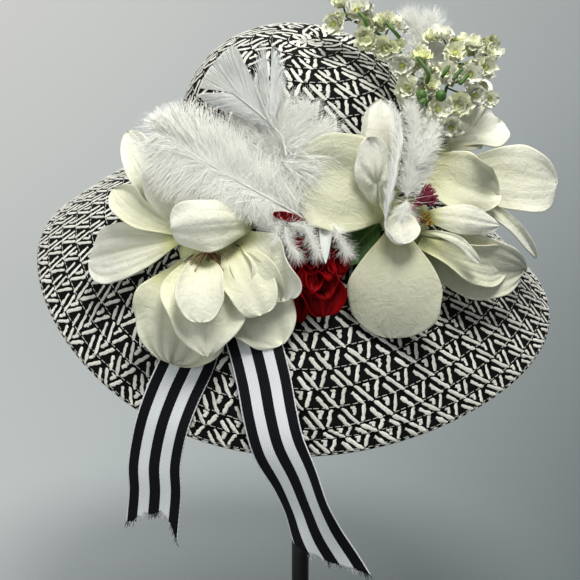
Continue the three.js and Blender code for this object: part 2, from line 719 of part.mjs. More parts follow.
function tailGeometry(stations, grow) {
  const half = RIBBON_THICKNESS / 2 + grow;
  const strips = 2;
  const loops = stations.map((station, k) => {
    const before = stations[Math.max(k - 1, 0)];
    const after = stations[Math.min(k + 1, stations.length - 1)];
    const along = new THREE.Vector3(after.x, after.y, after.z)
      .sub(new THREE.Vector3(before.x, before.y, before.z))
      .normalize();
    const slant = radians(station.slant);
    const turn = radians(station.turn);
    const across = new THREE.Vector3(
      Math.cos(slant) * Math.cos(turn),
      -Math.sin(slant) * Math.cos(turn),
      Math.sin(turn),
    );
    const face = across.clone().cross(along).normalize();
    const end = k === 0 ? -grow : (k === stations.length - 1 ? grow : 0);
    const front = [];
    const back = [];
    for (let j = 0; j <= strips; j += 1) {
      const reach = (RIBBON_WIDTH / 2 + grow) * ((2 * j) / strips - 1);
      const middle = new THREE.Vector3(station.x, station.y, station.z)
        .addScaledVector(across, reach)
        .addScaledVector(along, end);
      front.push(middle.clone().addScaledVector(face, half));
      back.push(middle.clone().addScaledVector(face, -half));
    }
    return [...front, ...back.reverse()];
  });
  return loft(loops, 'strip');
}

// Stamens: short prongs that fan out from the heart of a flower
const STAMENS = {
  stamens_left: {
    heart: [-55, -60, 106], size: 3.5, length: 15, radius: 0.9,
    aim: [0.3, -0.9, 1.2], spread: 0.9, count: 4,
  },
  stamens_right: {
    heart: [88, -38, 99], size: 3.5, length: 10, radius: 0.9,
    aim: [0.3, 0.2, 1], spread: 0.7, count: 3,
  },
  stamens_upper: {
    heart: [90, -28, 95], size: 5, length: 15, radius: 1.6,
    aim: [0.9, 0.9, 0.7], spread: 0.25, count: 3,
  },
};

function stamenSolid(row, grow) {
  const aim = new THREE.Vector3(...row.aim).normalize();
  const side = new THREE.Vector3(0, 0, 1).cross(aim).normalize();
  const up = aim.clone().cross(side);
  const parts = [solidOf(lumpGeometry(row.heart, [row.size, row.size, row.size], grow))];
  for (let k = 0; k < row.count; k += 1) {
    const turn = (k / row.count) * 2 * Math.PI;
    const way = aim.clone()
      .addScaledVector(side, row.spread * Math.cos(turn))
      .addScaledVector(up, row.spread * Math.sin(turn))
      .normalize();
    const end = new THREE.Vector3(...row.heart).addScaledVector(way, row.length);
    const tip = row.radius * STAMEN_TAPER;
    parts.push(solidOf(footGeometry(row.heart, end.toArray(), row.radius, tip, PRONG_SIDES, grow)));
  }
  return joined(parts);
}

// Sub-parts: each gives its solid, as it is or grown on all sides by the clearance

function petalSolids(rows, thickness, facets, grow) {
  return rows.map((row) => solidOf(bladeGeometry(row, thickness, facets, grow)));
}

function magnolia(rows, calyx, foot) {
  return (grow) => joined([
    ...petalSolids(rows, PETAL_THICKNESS, PETAL_FACETS, grow),
    solidOf(lumpGeometry(calyx.place, calyx.size, grow)),
    solidOf(footGeometry(foot.from, foot.to, foot.radiusFrom, foot.radiusTo, FOOT_SIDES, grow)),
  ]);
}

function rose(grow) {
  return joined([
    ...petalSolids(ROSE_PETALS, PETAL_THICKNESS, ROSE_FACETS, grow),
    solidOf(lumpGeometry(ROSE_HEART.place, ROSE_HEART.size, grow)),
  ]);
}

function feather(row) {
  return (grow) => joined([
    ...petalSolids(row.vanes, FEATHER_THICKNESS, VANE_FACETS, grow),
    solidOf(stalkGeometry(row.quill, QUILL_RADIUS + grow, QUILL_FACETS)),
  ]);
}

function spray(row) {
  return (grow) => {
    const path = new THREE.CatmullRomCurve3(row.stem.map((point) => new THREE.Vector3(...point)));
    const knots = path.getSpacedPoints(2 * row.florets.length);
    const parts = [solidOf(stalkGeometry(row.stem, STEM_RADIUS + grow, STEM_FACETS))];
    for (const floret of row.florets) {
      const place = new THREE.Vector3(...floret.place);
      const knot = knots.reduce((best, point) => (
        point.distanceTo(place) < best.distanceTo(place) ? point : best
      ));
      const twig = [knot.toArray(), floret.place, TWIG_RADIUS, TWIG_RADIUS];
      parts.push(solidOf(footGeometry(...twig, PRONG_SIDES, grow)));
      parts.push(solidOf(floretGeometry(floret.place, floret.face, floret.scale, grow)));
    }
    return joined(parts);
  };
}

// Assembly

const product = new THREE.Group();

function addMesh(parent, name, geometry, finish) {
  const mesh = new THREE.Mesh(geometry, new THREE.MeshStandardMaterial(FINISH[finish]));
  mesh.name = name;
  parent.add(mesh);
}

const hat = new THREE.Group();
hat.position.copy(HAT_PLACE);
hat.rotation.set(radians(HAT_TILT), radians(HAT_ROLL), 0, 'YXZ');
hat.updateMatrix();
product.add(hat);
addMesh(hat, 'crown', geometryOf(solidOf(crownGeometry())), 'straw');
addMesh(hat, 'brim', geometryOf(solidOf(brimGeometry(0, BRIM_THICKNESS))), 'straw');
addMesh(hat, 'hatband', geometryOf(solidOf(hatbandGeometry())), 'ribbon');

const trim = new THREE.Group();
trim.position.copy(HAT_PLACE);
trim.rotation.x = radians(90 - TRIM_LEAN);
trim.updateMatrix();
product.add(trim);

// The filled hat with its band, seen in the frame of the trimmings
const hatInTrim = trim.matrix.clone().invert().multiply(hat.matrix);
const taken = hatBulk(RIBBON_THICKNESS + 2 * GAP + FACET_SAG).map((geometry) => (
  solidOf(geometry.applyMatrix4(hatInTrim))
));

// Adds a trimming, cut clear of everything placed before it
function addTrimming(name, form, finish) {
  let solid = form(0);
  for (const other of taken) {
    if (boxesMeet(solid, other)) {
      solid = solid.subtract(other);
    }
  }
  solid = mainBody(solid);
  taken.push(form(GAP));
  addMesh(trim, name, geometryOf(solid), finish);
}

for (const [name, stations] of Object.entries(TAILS)) {
  addTrimming(name, (grow) => solidOf(tailGeometry(stations, grow)), 'ribbon');
}
addTrimming('magnolia_left', magnolia(
  LEFT_PETALS,
  { place: [-56, -56, 97], size: [24, 20, 8] },
  { from: [-56, -58, 78], to: [-56, -56, 96], radiusFrom: 12, radiusTo: 14 },
), 'petal');
addTrimming('magnolia_right', magnolia(
  RIGHT_PETALS,
  { place: [80, -34, 88], size: [18, 16, 8] },
  { from: [60, -34, 48], to: [78, -34, 86], radiusFrom: 7, radiusTo: 9 },
), 'petal');
addTrimming('magnolia_upper', magnolia(
  UPPER_PETALS,
  { place: [106, 4, 60], size: [14, 18, 10] },
  { from: [74, -8, 50], to: [102, 2, 60], radiusFrom: 6, radiusTo: 8 },
), 'petal');
addTrimming('rose', rose, 'rose');
addTrimming('rose_leaf', (grow) => joined(
  petalSolids(ROSE_LEAF, PETAL_THICKNESS, LEAF_FACETS, grow),
), 'leaf');
for (const [name, row] of Object.entries(STAMENS)) {
  addTrimming(name, (grow) => stamenSolid(row, grow), 'stamen');
}
for (const [name, row] of Object.entries(SPRAYS)) {
  addTrimming(name, spray(row), 'blossom');
}
for (const [name, row] of Object.entries(FEATHERS)) {
  addTrimming(name, feather(row), 'feather');
}
for (const [name, row] of Object.entries(PLUMES)) {
  addTrimming(name, (grow) => solidOf(plumeGeometry(row, grow)), 'feather');
}

// Stand: the pad's rounded top reaches the crown's ceiling where the pole's line meets it.
// Its profile: reach from the pole's line, and depth below the pad's top.
const PAD_PROFILE = [
  { reach: 0, depth: 0 },
  { reach: PAD_RADIUS * 0.55, depth: PAD_THICKNESS * 0.12 },
  { reach: PAD_RADIUS * 0.88, depth: PAD_THICKNESS * 0.35 },
  { reach: PAD_RADIUS, depth: PAD_THICKNESS * 0.6 },
];
const PAD_SIDES = 16;
const PAD_STEP = 0.05;           // how finely the pad's height is found

function insideCrown(point, hatInverse) {
  const local = point.clone().applyMatrix4(hatInverse);
  const inset = WALL + GAP + FACET_SAG;
  const across = Math.hypot(
    local.x / (CROWN_HALF_WIDTH - inset),
    local.y / (CROWN_HALF_DEPTH - inset),
  );
  const up = local.z / (CROWN_HEIGHT - inset);
  return Math.pow(across, CROWN_SQUARENESS) + Math.pow(up, CROWN_SQUARENESS) < 1;
}

function padTop() {
  const hatInverse = hat.matrix.clone().invert();
  const fits = (height) => PAD_PROFILE.every(({ reach, depth }) => {
    const rim = ringOf(PAD_SIDES, (a) => (
      new THREE.Vector3(reach * Math.cos(a), reach * Math.sin(a), height - depth)
    ));
    return rim.every((point) => insideCrown(point, hatInverse));
  });
  let height = HAT_PLACE.z + 2 * CROWN_HEIGHT;
  while (!fits(height)) {
    height -= PAD_STEP;
  }
  return height;
}

function turned(profile, sides) {
  const geometry = new THREE.LatheGeometry(profile.map(([x, y]) => new THREE.Vector2(x, y)), sides);
  geometry.rotateX(Math.PI / 2);
  return geometryOf(solidOf(geometry));
}

const PAD_TOP = padTop();
const PAD_FOOT = PAD_TOP - PAD_THICKNESS;

addMesh(product, 'stand_base', turned([
  [0, 0],
  [BASE_RADIUS - BASE_CHAMFER, 0],
  [BASE_RADIUS, BASE_CHAMFER],
  [BASE_RADIUS, BASE_THICKNESS - BASE_CHAMFER],
  [BASE_RADIUS - BASE_CHAMFER, BASE_THICKNESS],
  [0, BASE_THICKNESS],
], BASE_SIDES), 'stand');
addMesh(product, 'stand_pole', turned([
  [0, BASE_THICKNESS + GAP],
  [POLE_COLLAR.radius, BASE_THICKNESS + GAP],
  [POLE_COLLAR.radius, BASE_THICKNESS + POLE_COLLAR.rim],
  [POLE_RADIUS, BASE_THICKNESS + POLE_COLLAR.height],
  [POLE_RADIUS, PAD_FOOT - GAP],
  [0, PAD_FOOT - GAP],
], POLE_SIDES), 'stand');
addMesh(product, 'stand_pad', turned([
  [0, PAD_FOOT],
  [PAD_RADIUS, PAD_FOOT],
  ...PAD_PROFILE.map(({ reach, depth }) => [reach, PAD_TOP - depth]).reverse(),
], PAD_SIDES), 'stand');

export default product;
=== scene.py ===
# Wide-brim hat of braided straw, trimmed with fabric flowers, feathers and striped ribbon,
# on a plain pole stand. Sizes and tables are in millimetres, as in the solids' own source,
# and turn into metres when a mesh is made. Front is towards -Y, up is +Z.

import math

import bmesh
import bpy
import numpy as np
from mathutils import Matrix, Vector


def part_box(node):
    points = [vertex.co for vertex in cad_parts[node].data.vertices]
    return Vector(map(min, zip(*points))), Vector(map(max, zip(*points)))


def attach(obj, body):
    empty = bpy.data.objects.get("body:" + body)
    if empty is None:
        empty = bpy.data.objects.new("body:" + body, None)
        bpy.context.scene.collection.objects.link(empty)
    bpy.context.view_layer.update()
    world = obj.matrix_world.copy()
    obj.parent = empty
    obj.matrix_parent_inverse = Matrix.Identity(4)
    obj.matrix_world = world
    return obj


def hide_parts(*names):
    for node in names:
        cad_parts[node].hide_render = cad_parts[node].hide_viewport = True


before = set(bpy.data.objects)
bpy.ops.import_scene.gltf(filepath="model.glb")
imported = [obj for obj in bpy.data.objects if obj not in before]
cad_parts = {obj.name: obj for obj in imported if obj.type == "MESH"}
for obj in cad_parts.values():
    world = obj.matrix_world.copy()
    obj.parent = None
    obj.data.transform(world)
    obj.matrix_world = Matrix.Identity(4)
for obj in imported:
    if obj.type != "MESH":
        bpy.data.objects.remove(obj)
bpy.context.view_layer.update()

TURN = 2 * math.pi
METRE = 1000                     # millimetres

# Driving dimensions of the hat
GAP = 0.3
WALL = 1.8
CROWN_HALF_WIDTH = 93
CROWN_HALF_DEPTH = 98
CROWN_HEIGHT = 115.5
CROWN_SQUARENESS = 2.7
BRIM_THICKNESS = WALL * 1.25
BRIM_REACH = 203.4
BRIM_DROP = 92
BRIM_BOW = 0.62
HAT_TILT = 21
HAT_ROLL = 5.35
HAT_PLACE = np.array([-7, -5, 400.0])
TRIM_LEAN = 12

# The edge's waves: turns, then cosine and sine of its reach, then of its height
EDGE_WAVES = [
    (1, 9.0, -1.1, -7.8, -3.5),
    (2, 1.05, 0, 13.1, -1.2),
    (3, 2.15, 0.43, -2.1, -3.0),
]

# Driving dimensions of the braid
ROW_WIDTH = 13.7
PLAIT_LENGTH = 23.7              # one repeat of the plait along a row
ROW_SHIFT = 10.8                 # how far the repeat moves on from one row to the next
ALIGNED_ANGLE = math.radians(-62)
NARROWED_ANGLE = ALIGNED_ANGLE - 0.3
NARROWED_SPREAD = 0.5            # round this angle the second row is only half as wide
STRAW_WIDTH = 2.95
STRAW_RISE = 0.42
CROWN_STRAWS = 1.02              # the crown's straws are this much wider than the brim's
CROWN_RISE = 0.22                # and they lie this flat
CROWN_DIMMING = 0.6              # and their tone reaches this far
SLANT = 8.5                      # how far the straws lean back on the brim's left side
STRAW_STRAY = 0.3                # how far whole straws, single points and widths stray
POINT_STRAY = 0.24
WIDTH_STRAY = 0.17
FOOT_CLEARANCE = 2               # the brim's straws end this far before its foot
SHINGLE = 0.55                   # each row's outer edge stands this proud of the next row
SEAM = 0.7                       # share of a row's width where its shingle is level
EDGE_ROW = 10                    # width of the row that finishes the edge
STITCH_LENGTH = 3.6
STITCH_STEP = 5.2
STITCH_LINE = 0.9                # share of a row's width where its seam is stitched
RIM_RADIUS = 1.25
DASH_STEP = 7.6

# Driving dimensions of the ribbon
RIBBON_WIDTH = 38
RIBBON_THICKNESS = 0.6
BAND_FOOT = 2
BAND_FACES = (1.35, 0.75)        # the band's outer and inner face off the crown

# Driving dimensions of the stand
BASE_RADIUS = 100
BASE_THICKNESS = 8
POLE_RADIUS = 7
PAD_RADIUS = 26
PAD_THICKNESS = 10

# Driving dimensions of the trimmings
PETAL_THICKNESS = 0.9
ROSE_THICKNESS = 0.7
LEAF_THICKNESS = 0.8
FLORET_RADIUS = 9.15
STEM_RADIUS = 1.1
TWIG_RADIUS = 0.65
BUD_STALK_RADIUS = 0.9
STALK_RADIUS = 1.4
BARB_HALF_WIDTH = 0.17
DOWN_HALF_WIDTH = 0.12
FLUFF_FACE = np.array([0.05, 0.5, 1.0])

# How finely the meshes are cut: rows and columns of a grid, or points along a path
PETAL_GRID = (28, 37)
ROSE_GRID = (26, 29)
ROSE_HEART_GRID = (90, 8)
LEAF_GRID = (44, 31)
CUSHION_GRID = (24, 14)
TUFT_GRID = (20, 13)
FLORET_GRID = (6, 8)
LUMP_GRID = (14, 20)
SMALL_LUMP_GRID = (6, 8)
BUD_GRID = (9, 12)
BAND_GRID = (13, 160)
TAIL_GRID = (120, 25)
RIM_GRID = (900, 5)
STAND_SIDES = 72
WEB_ROWS = 400
BARB_POINTS = 7
DOWN_POINTS = 5
QUILL_POINTS = 60
STEM_POINTS = 70
GROUND_ANGLES = 150
STRAW_POINTS = 7
HIDDEN_STRAW_POINTS = 4          # for the straws on the inner faces


def rng_for(name):
    """Random numbers that depend on the piece's name alone."""
    return np.random.default_rng(list(name.encode()))


def unit(vectors):
    vectors = np.asarray(vectors, float)
    return vectors / np.maximum(np.linalg.norm(vectors, axis=-1, keepdims=True), 1e-9)


def between(first, second, share):
    return first + (second - first) * share


def full_turn(count):
    """Evenly spaced angles of one full turn."""
    return np.arange(count) / count * TURN


def grid_shares(rows, columns):
    """t from 0 to 1 down the rows and v from -1 to 1 across the columns."""
    return np.linspace(0, 1, rows)[:, None], np.linspace(-1, 1, columns)[None, :]


def along_curve(points, count):
    """Evenly numbered points on a smooth curve through the given points."""
    knots = np.asarray(points, float)
    ends = np.vstack([2 * knots[0] - knots[1], knots, 2 * knots[-1] - knots[-2]])
    at = np.linspace(0, len(knots) - 1, count)
    k = np.minimum(at.astype(int), len(knots) - 2)
    t = (at - k)[:, None]
    a, b, c, d = (ends[k + step] for step in range(4))
    slope, bend = 2 * a - 5 * b + 4 * c - d, 3 * b - a - 3 * c + d
    return 0.5 * (2 * b + (c - a) * t + slope * t**2 + bend * t**3)


def turn_about(axis, degrees):
    """Rotation matrix about x (0), y (1) or z (2)."""
    c, s = math.cos(math.radians(degrees)), math.sin(math.radians(degrees))
    matrix = np.eye(3)
    a, b = (axis + 1) % 3, (axis + 2) % 3
    matrix[a, a], matrix[a, b], matrix[b, a], matrix[b, b] = c, -s, s, c
    return matrix


HAT_TURN = turn_about(1, HAT_ROLL) @ turn_about(0, HAT_TILT)
TRIM_TURN = turn_about(0, 90 - TRIM_LEAN)


def from_hat(points):
    return points @ HAT_TURN.T + HAT_PLACE


# Hat surfaces in the hat's own frame: z is the crown's axis, angle 0 is the right side

def polar(radius, angle, height):
    parts = radius * np.cos(angle), radius * np.sin(angle), height
    return np.stack(np.broadcast_arrays(*parts), axis=-1)


def crown_reach(angle):
    return 1 / np.hypot(np.cos(angle) / CROWN_HALF_WIDTH, np.sin(angle) / CROWN_HALF_DEPTH)


def crown_point(angle, share, out=0):
    narrowing = (1 - share**CROWN_SQUARENESS) ** (1 / CROWN_SQUARENESS)
    x = (CROWN_HALF_WIDTH + out) * narrowing * np.cos(angle)
    y = (CROWN_HALF_DEPTH + out) * narrowing * np.sin(angle)
    return np.stack(np.broadcast_arrays(x, y, (CROWN_HEIGHT + out) * share), axis=-1)


def brim_rise(angle, share):
    """Distance from the axis, and height, of the brim's top face."""
    reach, height = BRIM_REACH, -BRIM_DROP
    for turns, reach_cos, reach_sin, height_cos, height_sin in EDGE_WAVES:
        c, s = np.cos(turns * angle), np.sin(turns * angle)
        reach = reach + reach_cos * c + reach_sin * s
        height = height + height_cos * c + height_sin * s
    radius = between(crown_reach(angle), reach, share)
    return radius, height * (BRIM_BOW * share + (1 - BRIM_BOW) * share * share) - GAP


def brim_point(angle, share):
    radius, height = brim_rise(angle, share)
    return polar(radius, angle, height)


def clear_of_hat(points, clearance=1.0, depth_below=30):
    """Points in the row frame, with those inside the hat moved out to its surface."""
    local = (points - HAT_PLACE) @ HAT_TURN
    x, y, z = np.moveaxis(local, -1, 0)
    across = np.hypot(x / (CROWN_HALF_WIDTH + clearance), y / (CROWN_HALF_DEPTH + clearance))
    up = np.maximum(z, 0) / (CROWN_HEIGHT + clearance)
    depth = across**CROWN_SQUARENESS + up**CROWN_SQUARENESS
    inside = (z > 0) & (depth < 1)
    grow = np.where(inside, np.maximum(depth, 0.05) ** (-1 / CROWN_SQUARENESS), 1)
    local = local * grow[..., None]
    x, y, z = np.moveaxis(local, -1, 0)
    angle = np.arctan2(y, x)
    (foot, _), (edge, _) = brim_rise(angle, 0), brim_rise(angle, 1)
    share = (np.hypot(x, y) - foot) / (edge - foot)
    _, height = brim_rise(angle, np.clip(share, 0, 1))
    under = (share > 0) & (share < 1) & (z < height + clearance) & (z > height - depth_below)
    local[..., 2] = np.where(under, height + clearance, z)
    return from_hat(local)


def from_trim(points):
    """Points of the trimmings' frame in the row frame, kept clear of the hat."""
    return clear_of_hat(points @ TRIM_TURN.T + HAT_PLACE)


# Meshes

def show(name, data):
    """A new object in the scene that holds the given mesh, lamp or camera."""
    made = bpy.data.objects.new(name, data)
    bpy.context.scene.collection.objects.link(made)
    return made


class Piece:
    """Grids of points gathered into one mesh, each point with named values for its material.
    place takes the points from the frame they are made in to the row frame."""

    def __init__(self, place=from_trim):
        self.place = place
        self.points, self.faces, self.slots, self.fields = [], [], [], {}
        self.count = 0

    def add(self, grids, closed=False, looped=False, capped=False, slot=0, **fields):
        """grids: grid, row, column, xyz, or one grid alone. closed joins the last column to
        the first, looped the last row to the first, capped fills a thin body's end rows."""
        grids = grids.reshape(-1, *grids.shape[-3:])
        shape = grids.shape[:3]
        index = self.count + np.arange(math.prod(shape)).reshape(shape)
        around = np.concatenate([index, index[:, :, :1]], axis=2) if closed else index
        around = np.concatenate([around, around[:, :1]], axis=1) if looped else around
        sides = [[around[:, :-1, :-1], around[:, :-1, 1:], around[:, 1:, 1:], around[:, 1:, :-1]]]
        if capped:
            half = shape[2] // 2
            for row in (0, -1):
                front, back = index[:, row, :half], index[:, row, :half - 1:-1]
                sides.append([front[:, :-1], front[:, 1:], back[:, 1:], back[:, :-1]])
        faces = [face for side in sides for face in np.stack(side, axis=-1).reshape(-1, 4).tolist()]
        self.faces += faces
        self.slots += [slot] * len(faces)
        self.points.append(grids.reshape(-1, 3))
        self.count += math.prod(shape)
        for name, value in fields.items():
            self.fields.setdefault(name, []).append(np.broadcast_to(value, shape).reshape(-1))

    def add_sheet(self, front, back, **fields):
        """A thin closed body between two faces of the same grid."""
        for name, value in fields.items():
            value = np.broadcast_to(value, front.shape[:-1])
            fields[name] = np.concatenate([value, value[..., ::-1]], axis=-1)
        both = np.concatenate([front, back[..., ::-1, :]], axis=-2)
        self.add(both, closed=True, capped=True, **fields)

    def add_tubes(self, paths, radii, sides, **fields):
        """Round stalks along paths: path, point, xyz, or one path alone."""
        paths = paths.reshape(-1, *paths.shape[-2:])
        tangent = unit(np.gradient(paths, axis=1))
        helper = np.where(np.abs(tangent[..., 2:]) > 0.9, [[[1.0, 0, 0]]], [[[0, 0, 1.0]]])
        side = unit(np.cross(tangent, helper))
        rings = ring_round(side, np.cross(tangent, side), sides)
        reach = np.broadcast_to(radii, paths.shape[:2])[..., None, None]
        self.add(paths[:, :, None] + rings * reach, closed=True, **fields)

    def add_strands(self, paths, facing, half_widths, **fields):
        """Flat strands along paths, turned square to the facing direction."""
        side = unit(np.cross(unit(np.gradient(paths, axis=1)), facing))
        offset = side * half_widths[..., None]
        self.add(np.stack([paths - offset, paths + offset], axis=2), **fields)

    def mesh(self, name, materials):
        mesh = bpy.data.meshes.new(name)
        points = self.place(np.concatenate(self.points))
        mesh.from_pydata((points / METRE).tolist(), [], self.faces)
        for field, values in self.fields.items():
            attribute = mesh.attributes.new(field, "FLOAT", "POINT")
            attribute.data.foreach_set("value", np.concatenate(values).astype(np.float32))
        mesh.polygons.foreach_set("material_index", self.slots)
        mesh.polygons.foreach_set("use_smooth", [True] * len(self.faces))
        for material in materials:
            mesh.materials.append(material)
        return mesh

    def build(self, name, materials, slot, *nodes, outward=True):
        mesh = self.mesh(name, materials)
        if outward:
            net = bmesh.new()
            net.from_mesh(mesh)
            bmesh.ops.recalc_face_normals(net, faces=net.faces)
            net.to_mesh(mesh)
            net.free()
        mesh.update()
        made = show(name, mesh)
        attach(made, "root")
        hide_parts(*nodes)
        return made


def ring_round(side, over, sides):
    """Directions round a path, from the two directions square to it."""
    turn = full_turn(sides)
    ring = side[..., None, :] * np.cos(turn)[:, None]
    return ring + over[..., None, :] * np.sin(turn)[:, None]


# Materials

def shade_of(value):
    """A colour from 0 to 255 or a single grey from 0 to 1, as the shader's linear values."""
    if isinstance(value, (int, float)):
        return (value, value, value, 1)
    if isinstance(value, tuple):
        parts = [c / 255 for c in value]
        return (*(c / 12.92 if c < 0.04045 else ((c + 0.055) / 1.055) ** 2.4 for c in parts), 1)
    return value


class Finish:
    """A material and short calls that add its nodes."""

    def __init__(self, name, **values):
        self.material = bpy.data.materials.new(name)
        self.material.use_nodes = True
        self.tree = self.material.node_tree
        self.shader = self.tree.nodes["Principled BSDF"]
        self.set(**values)

    def set(self, **values):
        for key, value in values.items():
            self.put(self.shader.inputs[key.replace("_", " ").title().replace("Ior", "IOR")], value)
        return self.material

    def put(self, socket, value):
        if isinstance(value, bpy.types.NodeSocket):
            self.tree.links.new(value, socket)
        else:
            socket.default_value = value

    def node(self, kind, inputs, output=0, **settings):
        made = self.tree.nodes.new("ShaderNode" + kind)
        for key, value in settings.items():
            setattr(made, key, value)
        for key, value in inputs.items():
            self.put(made.inputs[key], value)
        return made.outputs[output]

    def field(self, name):
        return self.node("Attribute", {}, "Fac", attribute_name=name)

    def places(self):
        return self.node("TexCoord", {}, "Object")

    def noise(self, scale, detail=3, roughness=0.5, coordinates=None, distortion=0):
        inputs = {"Vector": coordinates or self.places(), "Scale": scale, "Detail": detail}
        inputs.update({"Roughness": roughness, "Distortion": distortion})
        return self.node("TexNoise", inputs, "Fac")

    def sum(self, operation, *values, clamp=False):
        return self.node("Math", dict(enumerate(values)), operation=operation, use_clamp=clamp)

    def times(self, value, factor, clamp=False):
        return self.sum("MULTIPLY", value, factor, clamp=clamp)

    def strayed(self, value, scale, detail, amount):
        """A value that strays up and down by clouds of the given scale."""
        cloud = self.sum("SUBTRACT", self.noise(scale, detail), 0.5)
        return self.sum("ADD", value, self.times(cloud, amount))

    def mix(self, share, first, second):
        inputs = {0: share, 6: shade_of(first), 7: shade_of(second)}
        return self.node("Mix", inputs, 2, data_type="RGBA")

    def ramp(self, value, *stops, sharp=False):
        made = self.tree.nodes.new("ShaderNodeValToRGB")
        made.color_ramp.interpolation = "CONSTANT" if sharp else "LINEAR"
        while len(made.color_ramp.elements) < len(stops):
            made.color_ramp.elements.new(1)
        for element, (place, colour) in zip(made.color_ramp.elements, stops):
            element.position, element.color = place, shade_of(colour)
        self.put(made.inputs[0], value)
        return made.outputs[0]

    def across_and_along(self):
        return self.node("CombineXYZ", {0: self.field("across"), 1: self.field("along")})

    def bump(self, height, distance, strength, below=None):
        inputs = {"Height": height, "Distance": distance, "Strength": strength}
        if below is not None:
            inputs["Normal"] = below
        return self.node("Bump", inputs)


def straw_finish():
    """Black and white straw: white says how white a straw is, tone varies it."""
    finish = Finish("straw", roughness=0.7, specular_ior_level=0.08)
    fibre = finish.noise(900, 4, 0.65)
    light = finish.mix(finish.field("tone"), (204, 204, 196), (236, 236, 229))
    light = finish.mix(finish.ramp(fibre, (0.36, 0.55), (0.56, 1)), (146, 146, 138), light)
    light = finish.mix(finish.times(finish.noise(60, 2), 0.2), light, (206, 204, 186))
    dark = finish.mix(fibre, (1, 1, 2), (14, 14, 14))
    colour = finish.mix(finish.field("white"), dark, light)
    return finish.set(base_color=colour, normal=finish.bump(fibre, 0.0007, 0.7))


def petal_finish():
    """Ivory cloth petals: along runs from the flower's heart to the petal's tip."""
    finish = Finish(
        "petal_cloth", roughness=0.85, sheen_weight=0.1, specular_ior_level=0.12,
        subsurface_weight=0.15, subsurface_radius=(0.004, 0.004, 0.003),
    )
    heart = finish.ramp(
        finish.strayed(finish.field("along"), 45, 3, 0.45), (0, (158, 164, 92)),
        (0.12, (204, 206, 152)), (0.28, (230, 230, 204)), (0.6, (238, 237, 222)), (1, (240, 239, 230)),
    )
    colour = finish.mix(finish.field("tint"), heart, (222, 224, 172))
    stretch = {0: finish.across_and_along(), 1: (9.0, 1.1, 1.0)}
    stretch = finish.node("VectorMath", stretch, operation="MULTIPLY")
    vein = finish.noise(2.2, 4, 0.6, coordinates=stretch, distortion=0.3)
    # Painted shade: a faint grey in the low parts of the fold bumps
    colour = finish.mix(finish.ramp(vein, (0.34, 0.1), (0.6, 0)), colour, (186, 188, 158))
    # Painted shade: the shade field greys the cloth in its creases and folds
    colour = finish.mix(finish.times(finish.field("shade"), 0.6, True), colour, (166, 168, 136))
    blotch = finish.ramp(finish.noise(75, 5, 0.65), (0.35, 0.22), (0.62, 0))
    colour = finish.mix(blotch, colour, (196, 197, 172))
    crumple = finish.bump(finish.noise(130, 4, 0.6, distortion=1.2), 0.0022, 0.5)
    folds = finish.bump(vein, 0.001, 0.3, below=crumple)
    threads = finish.bump(finish.noise(1500, 2), 0.0003, 0.35, below=folds)
    return finish.set(base_color=colour, normal=threads)


def ribbon_finish():
    """Five bands of black and white twill with thin white selvedges."""
    finish = Finish("striped_ribbon", roughness=0.7, specular_ior_level=0.1)
    across = finish.sum("MULTIPLY_ADD", finish.field("across"), 0.5, 0.5)
    colours = (224, 227, 230), (2, 2, 5)
    edges = (0.0, 0.022, 0.205, 0.4, 0.6, 0.795, 0.978)
    stops = [(place, colours[k % 2]) for k, place in enumerate(edges)]
    bands = finish.ramp(across, *stops, sharp=True)
    wave = {"Vector": finish.across_and_along(), "Scale": 7.0, "Distortion": 0.6}
    twill = finish.node("TexWave", wave, "Fac", bands_direction="DIAGONAL")
    soft = finish.mix(finish.times(twill, 0.1), bands, (84, 88, 98))
    return finish.set(base_color=soft, normal=finish.bump(twill, 0.0004, 0.5))


def feather_finish():
    """Off-white barbs that differ in tone from one to the next."""
    finish = Finish("feather_down", roughness=0.8, sheen_weight=0.1, specular_ior_level=0.2)
    tone = finish.mix(finish.field("tone"), (190, 196, 196), (253, 253, 246))
    patch = finish.ramp(finish.noise(70), (0.4, 0.5), (0.65, 0))
    return finish.set(base_color=finish.mix(patch, tone, (236, 237, 230)))


def rose_finish():
    finish = Finish("rose_satin", roughness=0.5, specular_ior_level=0.07)
    wrinkles_and_highlight = finish.noise(160, 4, 0.55, distortion=0.6)
    deep = finish.mix(finish.field("along"), (48, 0, 3), (134, 0, 8))
    # Painted highlight: a brighter red on the high parts of the wrinkle bumps
    colour = finish.mix(finish.times(wrinkles_and_highlight, 0.4), deep, (172, 2, 6))
    # Painted shade: the shade field darkens the creases, pleats and heart to near black
    colour = finish.mix(finish.times(finish.field("shade"), 0.9, True), colour, (20, 0, 2))
    return finish.set(base_color=colour, normal=finish.bump(wrinkles_and_highlight, 0.0014, 0.6))


def leaf_finish():
    finish = Finish("leaf_cloth", roughness=0.55, specular_ior_level=0.3)
    mottle = finish.mix(finish.noise(120), (26, 60, 16), (74, 116, 42))
    colour = finish.mix(finish.field("shade"), mottle, (112, 140, 70))
    return finish.set(base_color=colour, normal=finish.bump(finish.noise(900, 2), 0.0004, 0.5))


def blossom_finish():
    finish = Finish(
        "blossom_cloth", roughness=0.75, sheen_weight=0.1, specular_ior_level=0.25,
        subsurface_weight=0.1, subsurface_radius=(0.003, 0.003, 0.002),
    )
    colour = finish.ramp(
        finish.strayed(finish.field("along"), 110, 2, 0.5), (0, (170, 182, 70)),
        (0.2, (222, 226, 144)), (0.45, (240, 241, 216)), (1, (248, 248, 240)),
    )
    colour = finish.mix(finish.times(finish.field("tint"), 0.55), colour, (214, 220, 120))
    return finish.set(base_color=colour, normal=finish.bump(finish.noise(1200, 2), 0.0004, 0.5))


